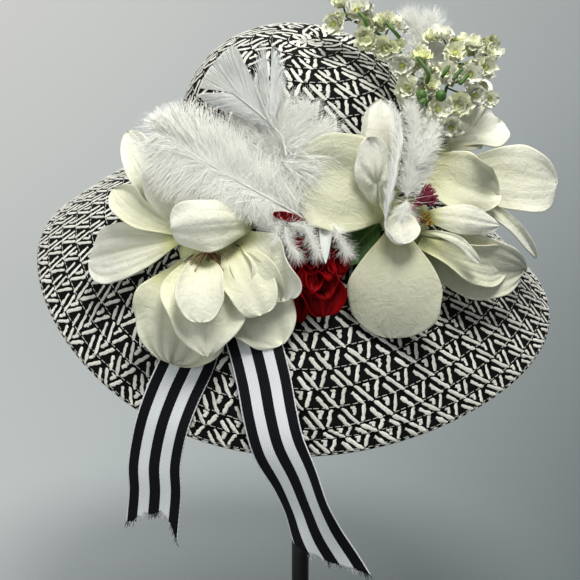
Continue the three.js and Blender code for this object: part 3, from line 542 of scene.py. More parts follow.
def plain_finish(name, dark, light, roughness, scale, metallic=0.0, relief=0.0002):
    """A colour that wanders between two shades, with a fine grain."""
    finish = Finish(name, metallic=metallic)
    grain = finish.noise(scale, 4)
    rough = finish.sum("ADD", finish.times(grain, 0.25), roughness - 0.12)
    colour, normal = finish.mix(grain, dark, light), finish.bump(grain, relief, 0.4)
    return finish.set(base_color=colour, roughness=rough, normal=normal)


STRAW = straw_finish()
PETAL = petal_finish()
RIBBON = ribbon_finish()
FEATHER = feather_finish()
ROSE = rose_finish()
LEAF = leaf_finish()
BLOSSOM = blossom_finish()

# Plain finishes: name, dark and light shade, roughness, scale of the grain
STEM = plain_finish("stem_green", (30, 62, 18), (84, 124, 44), 0.55, 260)
QUILL = plain_finish("quill", (214, 214, 204), (246, 246, 240), 0.4, 300)
DARK_STAMEN = plain_finish("stamen_brown", (84, 50, 34), (176, 128, 92), 0.6, 500)
PINK_STAMEN = plain_finish("stamen_maroon", (92, 12, 34), (176, 60, 92), 0.6, 500)
POLLEN = plain_finish("pollen", (120, 84, 20), (214, 186, 70), 0.8, 600)
THREAD = plain_finish("thread", (150, 152, 152), (226, 226, 222), 0.7, 700)
BLACK_THREAD = plain_finish("black_thread", (8, 8, 10), (34, 34, 38), 0.7, 700)
STAND_BLACK = plain_finish("stand_black", (6, 6, 7), (22, 22, 24), 0.34, 90, 0.35, 0.00008)


# Braid

class Slope:
    """A hat surface that is measured in millimetres along its slope, at each angle."""

    angles = 720

    def __init__(self, point, shares, side):
        fine = point(full_turn(self.angles)[:, None], shares[None, :])
        lengths = np.cumsum(np.linalg.norm(np.diff(fine, axis=1), axis=-1), axis=1)
        lengths = np.concatenate([np.zeros((self.angles, 1)), lengths], axis=1)
        self.length = lengths[:, -1]
        marks = np.arange(int(self.length.max()) + 2)
        self.table = np.array([
            [np.interp(marks, run, line[:, k]) for k in range(3)] for run, line in zip(lengths, fine)
        ]).transpose(0, 2, 1)
        around = np.roll(self.table, -1, axis=0) - np.roll(self.table, 1, axis=0)
        down = np.gradient(self.table, axis=1)
        normal = np.cross(around, down)
        normal = unit(np.where(normal[..., 2:] < 0, -normal, normal))
        still = (np.linalg.norm(down, axis=-1) < 0.5) | (np.linalg.norm(around, axis=-1) < 1e-3)
        self.normal = np.where(still[..., None], [0, 0, 1.0], normal) * side

    def at(self, angle, distance, lift=0.0):
        """Points at an angle and a distance down the slope, lifted off the surface."""
        turn = (angle / TURN * self.angles) % self.angles
        near = turn.astype(int) % self.angles
        distance = np.clip(distance, 0, self.table.shape[1] - 1.001)
        row = distance.astype(int)
        turn_share, row_share = (turn - np.floor(turn))[..., None], (distance - row)[..., None]

        def blend(table):
            first, second = (
                between(table[k, row], table[k, row + 1], row_share)
                for k in (near, (near + 1) % self.angles)
            )
            return between(first, second, turn_share)

        return blend(self.table) + blend(self.normal) * np.asarray(lift)[..., None]

    def length_at(self, angle):
        return self.length[(angle / TURN * self.angles).astype(int) % self.angles]


# The plait's white straws in one repeat. s: along the row, r: share of the row's width from
# the crown's side, both at the straw's two ends
PLAIT = [
    dict(s=(0.0, 7.3), r=(0.30, 1.0), width=1.0),
    dict(s=(3.5, 14.3), r=(0.0, 1.0), width=1.0),
    dict(s=(12.6, 11.8), r=(0.02, 0.46), width=1.0),
    dict(s=(9.6, 12.4), r=(0.03, 0.13), width=0.8),
    dict(s=(19.8, 16.4), r=(0.0, 0.84), width=1.0),
]
STRAW_ACROSS = np.array([-1, -0.55, 0.55, 1])
STRAW_HEIGHT = np.array([-0.4, 0.95, 0.95, -0.4])
STITCH_HEIGHT = np.array([0.3, 1.35, 0.3]) * np.array([0.4, 1, 0.4])[:, None]
GROUND_LINES = (0.03, 0.4, 0.75, 0.97)


def crown_seams(angle, k):
    """Distances from the middle of the top to a row's inner and outer seam."""
    return k * ROW_WIDTH + 0 * angle, (k + 1) * ROW_WIDTH + 0 * angle


def brim_seams(angle, k):
    """Distances from the edge to a row's inner and outer seam; row 0 finishes the edge."""
    away = (angle - NARROWED_ANGLE + math.pi) % TURN - math.pi
    narrowing = 1 - np.exp(-((away / NARROWED_SPREAD) ** 2))
    seams = [0 * angle, EDGE_ROW + 0 * angle, EDGE_ROW + ROW_WIDTH * (0.5 + 0.5 * narrowing)]
    while len(seams) < k + 2:
        seams.append(seams[-1] + ROW_WIDTH)
    return seams[k + 1], seams[k]


def braid(name, slope, seams, rows, on_brim, base_lift):
    """Shingled rows of plait: a black ground, raised white straws and a stitched seam. A
    straw's s runs along its row and r across it, from the inner seam to the outer."""
    rng = rng_for(name)
    straws = Piece(from_hat)
    angle = full_turn(GROUND_ANGLES)
    lines = [(0 * angle, base_lift - (0.8 if on_brim else 0.2))]
    lines += [
        (between(*seams(angle, k), r), base_lift + SHINGLE * (r - SEAM))
        for k in rows for r in GROUND_LINES
    ]
    lines.sort(key=lambda line: line[0].mean())
    ground = np.stack([slope.at(angle, distance, lift) for distance, lift in lines])

    def lay(turn, k, r, lift, middle, white, tone):
        """Strips across row k, but for those that would reach past the brim's foot."""
        distance = between(*seams(turn, k), r)
        strips = slope.at(turn, distance, base_lift + lift)
        if on_brim:
            kept = distance.max(axis=(1, 2)) < slope.length_at(turn[:, middle, middle]) - FOOT_CLEARANCE
            strips, tone = strips[kept], np.broadcast_to(tone, (len(turn), 1, 1))[kept]
        if len(strips):
            straws.add(strips, white=white, tone=tone)

    count = HIDDEN_STRAW_POINTS if base_lift else STRAW_POINTS
    share = np.linspace(0, 1, count)
    tapering = np.interp(share, [0, 0.1, 0.9, 1], [0.75, 1, 1, 0.7])
    for k in rows:
        middle = np.mean(seams(angle, k), axis=0)
        around = TURN * np.hypot(*slope.at(angle, middle)[:, :2].T).mean()
        repeats = max(3, round(around / PLAIT_LENGTH))
        step = around / repeats
        shift = ROW_SHIFT * k * (-1 if on_brim else 1) % PLAIT_LENGTH
        origin = ALIGNED_ANGLE / TURN * around + shift + np.arange(repeats) * step
        for straw in PLAIT:
            wobble = rng.normal(0, STRAW_STRAY, (repeats, 1, 2))
            s = origin[:, None] + between(*straw["s"], share) * step / PLAIT_LENGTH
            s = s + wobble[:, :, 0] + rng.normal(0, POINT_STRAY, (repeats, count))
            r = between(*straw["r"], share) + wobble[:, :, 1] * 0.05
            if on_brim:
                s = s - SLANT * np.maximum(-np.cos(s / around * TURN), 0) * (r - 0.5)
            inner, outer = seams(s / around * TURN, k)
            across = np.abs(outer - inner)
            along, down = np.gradient(s, axis=1), np.gradient(r, axis=1) * across
            size = np.hypot(along, down)
            half = STRAW_WIDTH / 2 * straw["width"] * (1 if on_brim else CROWN_STRAWS)
            half = half * (1 + rng.normal(0, WIDTH_STRAY, s.shape)) * tapering
            s_all = s[..., None] - (down / size * half)[..., None] * STRAW_ACROSS
            r_all = r[..., None] + (along / size * half / across)[..., None] * STRAW_ACROSS
            r_all = np.clip(r_all, 0.01, 0.99)
            lift = SHINGLE * (r_all - SEAM) + (STRAW_RISE if on_brim else CROWN_RISE) * STRAW_HEIGHT
            tone = rng.uniform(0.2, 1, (repeats, 1, 1)) * (1 if on_brim else CROWN_DIMMING)
            lay(s_all / around * TURN, k, r_all, lift, 2, 1.0, tone)
        stitches = round(around / STITCH_STEP)
        centre = np.arange(stitches) * around / stitches + rng.normal(0, 0.25, stitches)
        s = centre[:, None, None] + np.linspace(-0.5, 0.5, 3)[:, None] * STITCH_LENGTH
        turn = np.repeat(s / around * TURN, 3, axis=2)
        r = STITCH_LINE + rng.normal(0, 0.012, (stitches, 1, 1)) + np.array([-0.02, 0, 0.02])
        lay(turn, k, r, SHINGLE * 0.25 + STRAW_RISE * STITCH_HEIGHT, 1, 0.85, 0.3)
    return ground, straws


# Crown and brim

ARC = np.linspace(0, math.pi / 2, 120)
HAT_PARTS = dict(
    crown=dict(
        point=crown_point, shares=np.cos(ARC) ** (2 / CROWN_SQUARENESS), seams=crown_seams,
        rows=13, seeds=("crown_out", "crown_in"), lining="crown_straws_inside", thickness=WALL,
    ),
    brim=dict(
        point=brim_point, shares=np.linspace(1, 0, 120), seams=brim_seams,
        rows=11, seeds=("brim_top", "brim_under"), lining="brim_straws_under", thickness=BRIM_THICKNESS,
    ),
)


def hat_body():
    """Closed shingled grounds with the straws and stitches on both faces."""
    for part, row in HAT_PARTS.items():
        on_brim = part == "brim"
        slopes = [Slope(row["point"], row["shares"], side) for side in (1, -1)]
        (outside, straws), (inside, lining) = (
            braid(seed, slope, row["seams"], range(row["rows"]), on_brim, depth)
            for seed, slope, depth in zip(row["seeds"], slopes, (0, row["thickness"]))
        )
        ground = Piece(from_hat)
        both = np.concatenate([outside, inside[::-1]])
        ground.add(both, closed=True, looped=on_brim, white=0.0, tone=0.5)
        ground.build(part + "_ground", [STRAW], "straw_braid", part)
        straws.build(part + "_straws", [STRAW], "straw_braid", outward=False)
        lining.build(row["lining"], [STRAW], "straw_braid", outward=False)
        if on_brim:
            rim_cord("brim_rim", slopes[0], row["thickness"])


def rim_cord(name, slope, drop):
    """The dashed cord that finishes the brim's edge."""
    angle = full_turn(RIM_GRID[0])
    path = slope.at(angle, 0 * angle, -drop / 2)
    before, after = np.roll(path, 1, axis=0), np.roll(path, -1, axis=0)
    tangent = unit(after - before)
    side = unit(np.cross(tangent, [0, 0, 1.0]))
    place = np.cumsum(np.linalg.norm(after - path, axis=1))
    white = np.clip((0.47 - np.abs((place / DASH_STEP) % 1 - 0.5)) * 12 - 2.4, 0, 1)
    radius = RIM_RADIUS * (1 + 0.12 * white + 0.05 * np.sin(place * 1.3))
    rings = ring_round(side, np.cross(side, tangent), RIM_GRID[1])
    cord = Piece(from_hat)
    grid = path[:, None] + rings * radius[:, None, None]
    cord.add(grid, closed=True, looped=True, white=white[:, None], tone=0.6)
    cord.build(name, [STRAW], "straw_braid")


# Layout of the trimmings, in their own frame: x right, y up, z outwards

def table(columns, *rows):
    """Rows of values under the names of their columns; a dict at a row's end adds to it."""
    names = columns.split()
    return [{**dict(zip(names, row)), **(row[-1] if isinstance(row[-1], dict) else {})} for row in rows]


# A petal runs from its base to its tip; rise lifts it at a third and two thirds, bow bends
# it sideways, cup and curl roll its edges up, peak, foot and point shape its outline. Its
# cloth is pressed: how many creases fan out and how deep they are, the middle's ridge, the
# wave of the rim, how yellow the cloth is, then pleats at the tip, a crumpled knot, soft
# folds, a torn rim, and how much painted shade darkens the whole petal. The creases, ridge,
# pleats, knot and folds paint shade into their hollows as well
PETAL_COLUMNS = "base tip width rise cup peak foot point bow roll creases crease ridge wave tint"
BLADE_DEFAULTS = dict(
    rise=(0, 0), bow=0, peak=0.6, foot=0.22, point=0.5, cup=20, curl=(0, 0), roll=0,
    pleat=0, crumple=0, knot=(0.5, 0), tint=0.0, fold=1.1, torn=0.035, painted_dimming=0.0,
)

# Waves of the cloth: size, turns along and across, and which of the petal's phases it takes
RIM_WAVES = ((1, 7.5, 1.4, 0), (0.6, 14, -2, 1))
TIP_WAVES = ((0.5, 0, 4.5, 2),)
DENT_WAVES = ((1, 3.1, 2.3, 7), (1, -4, 2.2, 4))
TORN_WAVES = ((1, 9, 2, 3), (0.6, 21, -3, 6), (1, 0, 5, 1))
SOFT_FOLDS = 3

MAGNOLIAS = dict(
    magnolia_left=dict(calyx=dict(place=(-56, -56, 97), size=(24, 20, 8)), petals=table(PETAL_COLUMNS,
        ((-72, -46, 94), (-119, 30, 66), 30, (10, 12), 30, 0.6, 0.2, 0.62, -3, 14, 7, 0.7, 0.4, 1.4, 0.1),
        ((-72, -44, 96), (-96, 9, 92), 36, (8, 10), 12, 0.6, 0.22, 0.5, 0, 0, 6, 0.5, 0.4, 1.4, 0),
        ((-74, -46, 99), (-127, -13, 84), 25, (8, 10), 40, 0.76, 0.2, 0.68, -6, -2, 5, 0.5, 0.4, 1, 0.35,
         dict(painted_dimming=0.25)),
        ((-75, -49, 101), (-147, -63, 66), 43, (10, 16), 8, 0.68, 0.16, 0.56, 1, -12, 6, 1.6, 0.9, 1.8, 0),
        ((-69, -59, 101), (-81, -86, 104), 18, (4, 4), 20, 0.6, 0.22, 0.48, 0, 58, 2, 0.5, 0.4, 1.1, 0),
        ((-71, -64, 101), (-84, -136, 109), 74, (10, 10), 10, 0.42, 0.22, 0.42, -5, 1, 4, 0.5, 0.4, 2.2, 0.1,
         dict(pleat=2.4, fold=2.2, painted_dimming=0.4)),
        ((-46, -70, 98), (-6, -122, 109), 51, (8, 8), 8, 0.54, 0.26, 0.5, 1, 3, 5, 0.6, 0.4, 2.4, 0.2,
         dict(fold=1.8)),
        ((-60, -61, 102), (-58, -131, 122), 62, (16, 12), 22, 0.44, 0.22, 0.82, 1, 5, 3, 0.35, 0.8, 2.2, 0.25,
         dict(fold=2)),
        ((-62, -66, 104), (-62, -107, 132), 38, (16, 14), 55, 0.68, 0.36, 0.42, 0, 2, 0, 0.55, 0, 0.8, 0.15),
        ((-46, -57, 102), (-21, -102, 124), 35, (14, 12), 20, 0.64, 0.24, 0.3, -3, 8, 3, 0.3, 0, 2.4, 0.3,
         dict(fold=1.8)),
        ((-42, -57, 102), (-8, -92, 118), 30, (16, 14), 25, 0.6, 0.22, 0.5, 0, 0, 3, 0.4, 0.4, 2, 0.3),
        ((-36, -47, 102), (-4, -92, 116), 34, (14, 12), 30, 0.72, 0.32, 0.4, -8, -1, 2, 0.3, 0.4, 2.8, 0,
         dict(curl=(55, 20))),
        ((-24, -37, 104), (-83, -43, 126), 38, (20, 14), -30, 0.68, 0.3, 0.3, 0, 3, 2, 0.6, 0.8, 1.8, 0,
         dict(fold=1.8, torn=0.02, painted_dimming=0.12)),
    )),
    magnolia_right=dict(calyx=dict(place=(80, -34, 88), size=(18, 16, 8)), petals=table(PETAL_COLUMNS,
        ((70, -26, 91), (3, -5, 112), 71, (14, 14), 14, 0.6, 0.36, 0.4, 4, -1, 9, 0.6, 0, 1.6, 0.4,
         dict(fold=1.8, painted_dimming=0.3)),
        ((69, -20, 89), (63, 50, 92), 32, (10, 10), 20, 0.56, 0.28, 0.66, -5, 5, 6, 0.6, 0.4, 1.8, 0),
        ((66, -29, 94), (53, 20, 122), 28, (16, 10), -30, 0.62, 0.38, 0.48, -3, -1, 3, 0.6, 0, 1.6, 0,
         dict(crumple=2.6, knot=(0.45, 0))),
        ((74, -42, 90), (70, -119, 96), 67, (16, 14), 8, 0.62, 0.22, 0.52, 0, -2, 2, 0.4, 0.9, 0.9, 0,
         dict(painted_dimming=0.95)),
        ((84, -48, 88), (173, -69, 34), 48, (12, 16), 25, 0.52, 0.24, 0.64, 11, -7, 9, 0.7, 0, 1.6, 0.2,
         dict(pleat=1.4)),
        ((90, -51, 92), (158, -66, 46), 32, (14, 18), 30, 0.7, 0.28, 0.68, 8, 6, 5, 0.9, 0.3, 1.6, 0.3),
        ((89, -44, 92), (133, -65, 88), 8, (10, 10), -30, 0.72, 0.08, 0.56, -8, 2, 1, 0.2, 0, 1.1, 0.1),
        ((92, -32, 92), (149, -38, 72), 22, (14, 14), -25, 0.46, 0.28, 0.6, 0, 5, 2, 0.15, 0, 0.6, 0),
        ((92, -30, 88), (138, -33, 72), 14, (8, 8), 20, 0.6, 0.24, 0.56, 0, 2, 3, 0.3, 0.4, 1.1, 0),
        ((76, -28, 92), (79, -53, 114), 25, (10, 6), -30, 0.68, 0.32, 0.48, 2, -7, 1, 0.4, 0.9, 0.6, 0),
    )),
    magnolia_upper=dict(calyx=dict(place=(106, 4, 60), size=(14, 18, 10)), petals=table(PETAL_COLUMNS,
        ((112, 14, 52), (146, 77, 8), 20, (10, 10), 20, 0.8, 0.24, 0.48, 3, 2, 5, 0.5, 0.4, 1.1, 0),
        ((106, 22, 50), (158, 43, 14), 36, (12, 14), 30, 0.66, 0.24, 0.56, 3, 15, 6, 0.9, 0.4, 2, 0,
         dict(fold=2)),
        ((101, 19, 56), (147, 31, 26), 27, (12, 14), -20, 0.58, 0.28, 0.68, -5, 19, 6, 0.8, 0.4, 2, 0),
        ((108, -1, 58), (202, -4, 10), 52, (14, 18), 8, 0.64, 0.28, 0.52, 0, 11, 10, 0.9, 0, 1.8, 0.1,
         dict(fold=1.6)),
        ((98, 4, 66), (151, -16, 62), 44, (18, 16), 24, 0.44, 0.52, 0.56, 3, 0, 4, 0.8, 0, 2.8, 0.35,
         dict(fold=2.2)),
        ((122, -7, 56), (185, -60, 22), 13, (16, 16), 30, 0.64, 0.2, 0.46, -3, 22, 3, 0.6, 0.4, 1.6, 0),
    )),
)

ROSE_PETALS = table("base tip width cup peak foot point rise",
    ((10, -52, 95), (-8, -31, 105), 26, 30, 0.5, 0.22, 0.5, (0, 0)),
    ((9, -37, 121), (-13, -32.5, 124), 6, -25, 0.5, 0.22, 0.5, (0, 0), dict(wave=0.4, fold=0.3)),
    ((8, -54, 96), (-8, -50, 103), 26, 35, 0.5, 0.22, 0.5, (0, 0)),
    ((7, -50, 95), (6, -109, 102), 20, 30, 0.5, 0.6, 0.8, (8, 6)),
    ((12, -54, 96), (34, -48, 101), 30, 35, 0.5, 0.22, 0.5, (0, 0)),
    ((14, -56, 97), (38, -72, 106), 38, 45, 0.55, 0.22, 0.5, (0, 0), dict(curl=(25, 25))),
    ((17, -60, 97), (22, -103, 106), 37, 50, 0.55, 0.22, 0.45, (10, 12), dict(curl=(25, 25))),
    ((12, -54, 100), (13, -92, 112), 18, 70, 0.5, 0.5, 0.5, (8, 8)),
    ((14, -62, 102), (25, -92, 115), 32, 75, 0.55, 0.5, 0.5, (0, 0), dict(curl=(30, 30))),
    ((15, -62, 103), (14, -88, 119), 19, 80, 0.55, 0.5, 0.5, (0, 0)),
    ((15, -63, 104), (30, -74, 120), 24, 80, 0.5, 0.5, 0.5, (0, 0)),
    ((13, -63, 104), (6, -50, 119), 26, 70, 0.5, 0.5, 0.5, (0, 0)),
)
ROSE_LOOK = dict(wave=2.2, creases=4, crease=2.2, pleat=1.4, ridge=0, fold=1.6)
ROSE_LEAF = dict(base=(64, -35, 84), tip=(30, -69, 97), width=24, cup=20, peak=0.5, point=0.8)

# The hairs' fan at a flower's heart, with the finishes of hairs and anthers
STAMENS = dict(
    stamens_left=dict(
        heart=(-58, -57, 107), size=3.0, length=19, aim=(0.15, -1.0, 0.75), spread=1.5, count=24,
        looks=[DARK_STAMEN, DARK_STAMEN],
    ),
    stamens_right=dict(
        heart=(89, -37, 98), size=3, length=9, aim=(0.7, 0.4, 0.6), spread=0.6, count=34,
        looks=[DARK_STAMEN, POLLEN],
    ),
    stamens_upper=dict(
        heart=(84, -28, 97), size=2.5, length=19, aim=(0.9, 0.9, 0.5), spread=0.32, count=150,
        looks=[PINK_STAMEN, PINK_STAMEN],
    ),
)

QUILL_BARE = 2                   # stations of a quill below its first barbs
FEATHERS = dict(
    feather_large=dict(
        quill=[(15, -52, 110), (9, -40, 116), (4, -33, 118), (-23, -18, 122), (-46, -5, 122),
               (-63, 5, 119), (-81, 19, 113), (-92, 26, 110)],
        rims=[
            [(3, -17, 119), (-21, 4, 121), (-41, 22, 121), (-58, 32, 118), (-75, 38, 114),
             (-89, 38, 110), (-99, 33, 106)],
            [(-1, -39, 117), (-25, -36, 121), (-46, -28, 122), (-66, -22, 119), (-84, -16, 114),
             (-98, -2, 110), (-104, 14, 107)],
        ],
        barbs=1700, ragged=0.75, loose=1.35, tone=0.95, down=dict(hairs=2200, length=26),
    ),
    feather_split=dict(
        quill=[(-4, 8, 120), (-6, 17, 119), (-8, 22, 119), (-21, 35, 121), (-32, 44, 121), (-41, 51, 120)],
        rims=[
            [(-18, 33, 121), (-25, 54, 122), (-32, 69, 121), (-40, 84, 120), (-51, 75, 119),
             (-60, 63, 118), (-64, 54, 118)],
            [(-15, 29, 119), (-30, 31, 119), (-46, 38, 118), (-58, 43, 117), (-66, 50, 117)],
        ],
        barbs=700, ragged=0.06, loose=1.03, tone=0.15,
    ),
    feather_thin=dict(
        quill=[(0, 8, 116), (-8, 18, 117), (-13, 27, 118), (-15, 40, 117), (-15, 52, 116)],
        rims=[
            [(-19, 46, 117), (-25, 60, 116), (-24, 74, 114), (-19, 87, 112)],
            [(-10, 46, 117), (-5, 58, 116), (-6, 72, 114), (-14, 88, 112)],
        ],
        barbs=210, ragged=0.9, loose=1.1, tone=0.0,
    ),
    feather_narrow=dict(
        quill=[(70, -50, 115), (67, -46, 118), (64, -40, 119), (67, -23, 122), (72, 4, 120),
               (73, 26, 116), (67, 46, 110)],
        rims=[
            [(63, -28, 119), (66, -4, 121), (69, 18, 118), (70, 34, 115), (66, 48, 109)],
            [(67, -28, 119), (72, -4, 121), (76, 18, 118), (75, 36, 115), (69, 48, 109)],
        ],
        barbs=170, ragged=0.97, loose=1.1, tone=0.4,
    ),
)

# Chains of points that the down grows from, each from its start to its end
PLUMES = dict(
    fluff_crown=dict(
        chains=[[(-12, 5, 115), tip] for tip in [
            (1, -28, 114), (-18, -28, 115), (-37, -18, 113), (-52, -10, 111), (-57, 5, 111),
            (-52, 22, 111), (-37, 26, 113), (-24, 38, 114), (-7, 41, 114), (10, 39, 113),
            (23, 26, 112), (20, 10, 113), (12, -5, 114),
        ]],
        hairs=14500, length=27, shaft=0.35, half_width=DOWN_HALF_WIDTH, cushion=26,
    ),
    fluff_rose=dict(
        chains=[
            [(-25, -40, 118), (-11, -39, 121)], [(-8, -36, 121), (-12, -51, 123)],
            [(-3, -39, 122), (12, -43, 123)], [(-5, -41, 122), (-2, -53, 124), (3, -62, 125)],
            [(10, -42, 123), (15, -53, 124), (18, -60, 124)],
            [(28, -39, 121), (34, -52, 123), (38, -60, 122)],
        ],
        hairs=2900, length=9.5, shaft=0.1, half_width=0.07,
        tuft=dict(base=(23, -34, 112), tip=(23, -67, 124), width=11, peak=0.3, foot=0.8, point=0.9, cup=70),
    ),
    fluff_right=dict(
        chains=[
            [(80, -20, 107), (82, -4, 107), (84, 12, 106), (86, 28, 103), (84, 42, 100)],
            [(88, 0, 105), (96, 16, 101)], [(92, 10, 103), (100, 30, 97)],
            [(80, -22, 108), (76, -34, 109)], [(80, -20, 101), (89, -7, 99), (95, 8, 97)],
            [(86, -10, 100), (92, 4, 98)],
        ],
        hairs=3700, length=16, shaft=0.25, half_width=DOWN_HALF_WIDTH,
    ),
    fluff_back=dict(
        chains=[
            [(100, 66, 56), (96, 84, 56), (92, 102, 55), (86, 114, 55)],
            [(100, 76, 56), (102, 98, 55), (102, 114, 54)], [(100, 70, 56), (110, 92, 55)],
        ],
        hairs=4600, length=16, shaft=0.35, half_width=DOWN_HALF_WIDTH,
    ),
)

# Sprays: the stem, closed green buds and bare lengths of stalk in front of the florets
SPRAYS = dict(
    blossom_spray_left=dict(
        stem=[(104, 8, 61), (99, 24, 64), (97, 44, 66), (91, 62, 72), (77, 86, 80), (58, 100, 84),
              (42, 108, 84)],
        buds=[(91, 52, 98), (92, 47, 98)],
        stalks=[
            [(48, 110, 95), (51, 106, 97), (53, 101, 95)],
            [(67, 103, 95), (71, 98, 98), (76, 93, 95)],
            [(89, 78, 96), (93, 72, 99), (96, 66, 99), (95, 61, 95)],
        ],
        florets=table(
            "place face scale",
            ((30, 104, 88), (-0.4, -0.1, 1), 1.05), ((46, 113, 88), (0.1, 0.6, 1), 1.1),
            ((36, 120, 82), (-0.4, 0.8, 0.7), 1), ((52, 94, 92), (0, -0.4, 1), 1),
            ((70, 106, 82), (0.2, 0.7, 0.8), 1.05), ((66, 86, 92), (-0.3, -0.2, 1), 1.1),
            ((78, 74, 92), (-0.2, -0.4, 1), 1.1), ((90, 80, 82), (0.5, 0.3, 1), 1),
            ((82, 58, 92), (-0.4, 0, 1), 1.05), ((98, 62, 82), (0.5, 0.1, 1), 1),
            ((88, 42, 88), (-0.2, 0, 1), 1.15), ((104, 44, 80), (0.2, 0, 1), 1.15),
            ((98, 28, 82), (0, -0.4, 1), 1),
        ),
    ),
    blossom_spray_right=dict(
        stem=[(110, 6, 60), (112, 24, 61), (110, 44, 62), (113, 64, 64), (122, 78, 64), (136, 82, 62)],
        buds=[(105, 52, 96)],
        stalks=[
            [(112, 75, 82), (109, 70, 84), (107, 67, 82)],
            [(121, 73, 82), (115, 65, 84)],
            [(126, 69, 82), (120, 62, 84)],
        ],
        florets=table(
            "place face scale",
            ((110, 100, 62), (-0.1, 0.7, 0.7), 1), ((118, 86, 70), (-0.1, 0.3, 1), 1.05),
            ((112, 72, 72), (-0.4, 0, 1), 1.05), ((132, 94, 64), (0.2, 0.7, 0.8), 1),
            ((144, 88, 62), (0.7, 0.3, 0.8), 1.05), ((140, 76, 68), (0.5, -0.1, 1), 1),
            ((128, 70, 74), (0.1, -0.1, 1), 1.1), ((132, 56, 70), (0.3, -0.3, 1), 1.1),
            ((120, 48, 76), (0, -0.2, 1), 1.15), ((114, 32, 76), (0, -0.5, 1), 1),
        ),
    ),
)

# Rings of a floret's petals: size, rise, how many
FLORET_RINGS = ((1.0, 0.2, 5), (0.8, 0.6, 4), (0.55, 0.95, 3))
CLUSTER_SIZE = 3                 # small florets round each one
CLUSTER_SPREAD = (5.5, 5.5, 2)   # how far they stray from it
BUD_SIZE = (4, 4.4, 3.6)

# Ribbon tails. stations: x, y, z, then slant and turn in degrees. ends: how far the end
# runs past its last station, at each place across
TAILS = dict(
    ribbon_tail_left=dict(
        stations=[
            (-52, -84, 93.5, 20, 12), (-64, -106, 100.5, 21, 4), (-71.5, -132, 106, 19, 2),
            (-83, -158, 109.5, 14, 4), (-91, -181, 110, 9, 6), (-96, -206, 106, 2, 6),
            (-96, -226, 102, 2, 6), (-98, -246, 98, 8, 6),
        ],
        ends=[(-1, 6), (-0.5, 0), (0, -5), (0.35, -5), (0.7, 2), (0.9, 10), (1, 17)],
    ),
    ribbon_tail_right=dict(
        stations=[
            (-40, -84, 98, -14, 0), (-27, -120, 107, -14, 0), (-20, -146, 113, -10, 2),
            (-15, -172, 118, -12, 4), (-9, -194, 120, -22, 10), (2, -216, 116, -28, 26),
            (10, -238, 112, -18, 34), (19, -260, 108, -30, 20), (34, -285, 103, -36, 10),
        ],
        ends=[(-1, -36), (-0.5, -24), (0, -11), (0.5, 0), (1, 12)],
    ),
)
FRAY_THREADS = 110


# Blades: petals, leaves and feather vanes

class Blade:
    """A petal or vane: t runs from its base to its tip, v from -1 at one edge to 1."""

    def __init__(self, values):
        self.row = {**BLADE_DEFAULTS, **values}
        base, tip = (np.array(self.row[key], float) for key in ("base", "tip"))
        along = unit(tip - base)
        self.outward = unit(np.array([0, 0, 1.0]) - along * along[2])
        sideways = np.cross(along, self.outward) * self.row["bow"]
        first, second = (self.outward * rise + sideways for rise in self.row["rise"])
        self.knots = [base, base + (tip - base) / 3 + first, base + (tip - base) * 2 / 3 + second, tip]

    def share(self, t):
        foot, peak, point = (self.row[key] for key in ("foot", "peak", "point"))
        rising = foot + (1 - foot) * np.sin(np.clip(t / peak, 0, 1) * math.pi / 2) ** 1.3
        past = np.clip((t - peak) / (1 - peak), 0, 1)
        return np.where(t < peak, rising, np.maximum(1 - past * past, 0) ** point)

    def at(self, t, v, lift=0.0):
        """Points in the trimmings' frame, lifted off the blade's middle face."""
        row = self.row
        t, v, lift = np.broadcast_arrays(t, v, lift)
        a, b, c, d = self.knots
        s, u = t[..., None], 1 - t[..., None]
        point = u**3 * a + 3 * u * u * s * b + 3 * u * s * s * c + s**3 * d
        tangent = unit(3 * u * u * (b - a) + 6 * u * s * (c - b) + 3 * s * s * (d - c))
        normal = unit(self.outward - tangent * (tangent @ self.outward)[..., None])
        side = np.cross(tangent, normal)
        roll = math.radians(-row["roll"])
        normal, side = (
            normal * math.cos(roll) + side * math.sin(roll),
            side * math.cos(roll) - normal * math.sin(roll),
        )
        curl = np.where(v < 0, *row["curl"])
        place = v[..., None] * (np.arange(8) + 0.5) / 8
        bend = np.radians(row["cup"] * place + curl[..., None] * np.sign(place) * np.abs(place) ** 4)
        across, out = np.cos(bend).mean(axis=-1) * v, np.sin(bend).mean(axis=-1) * v
        lean = np.radians(row["cup"] * v + curl * v * np.abs(v) ** 3)[..., None]
        reach = (self.share(t) * row["width"] / 2)[..., None]
        middle = point + side * reach * across[..., None] + normal * reach * out[..., None]
        return middle + (normal * np.cos(lean) - side * np.sin(lean)) * lift[..., None]

    def sheet(self, t, v, relief, thickness):
        """The blade's front and back face."""
        return [self.at(t, v, relief + half) for half in (thickness / 2, -thickness / 2)]


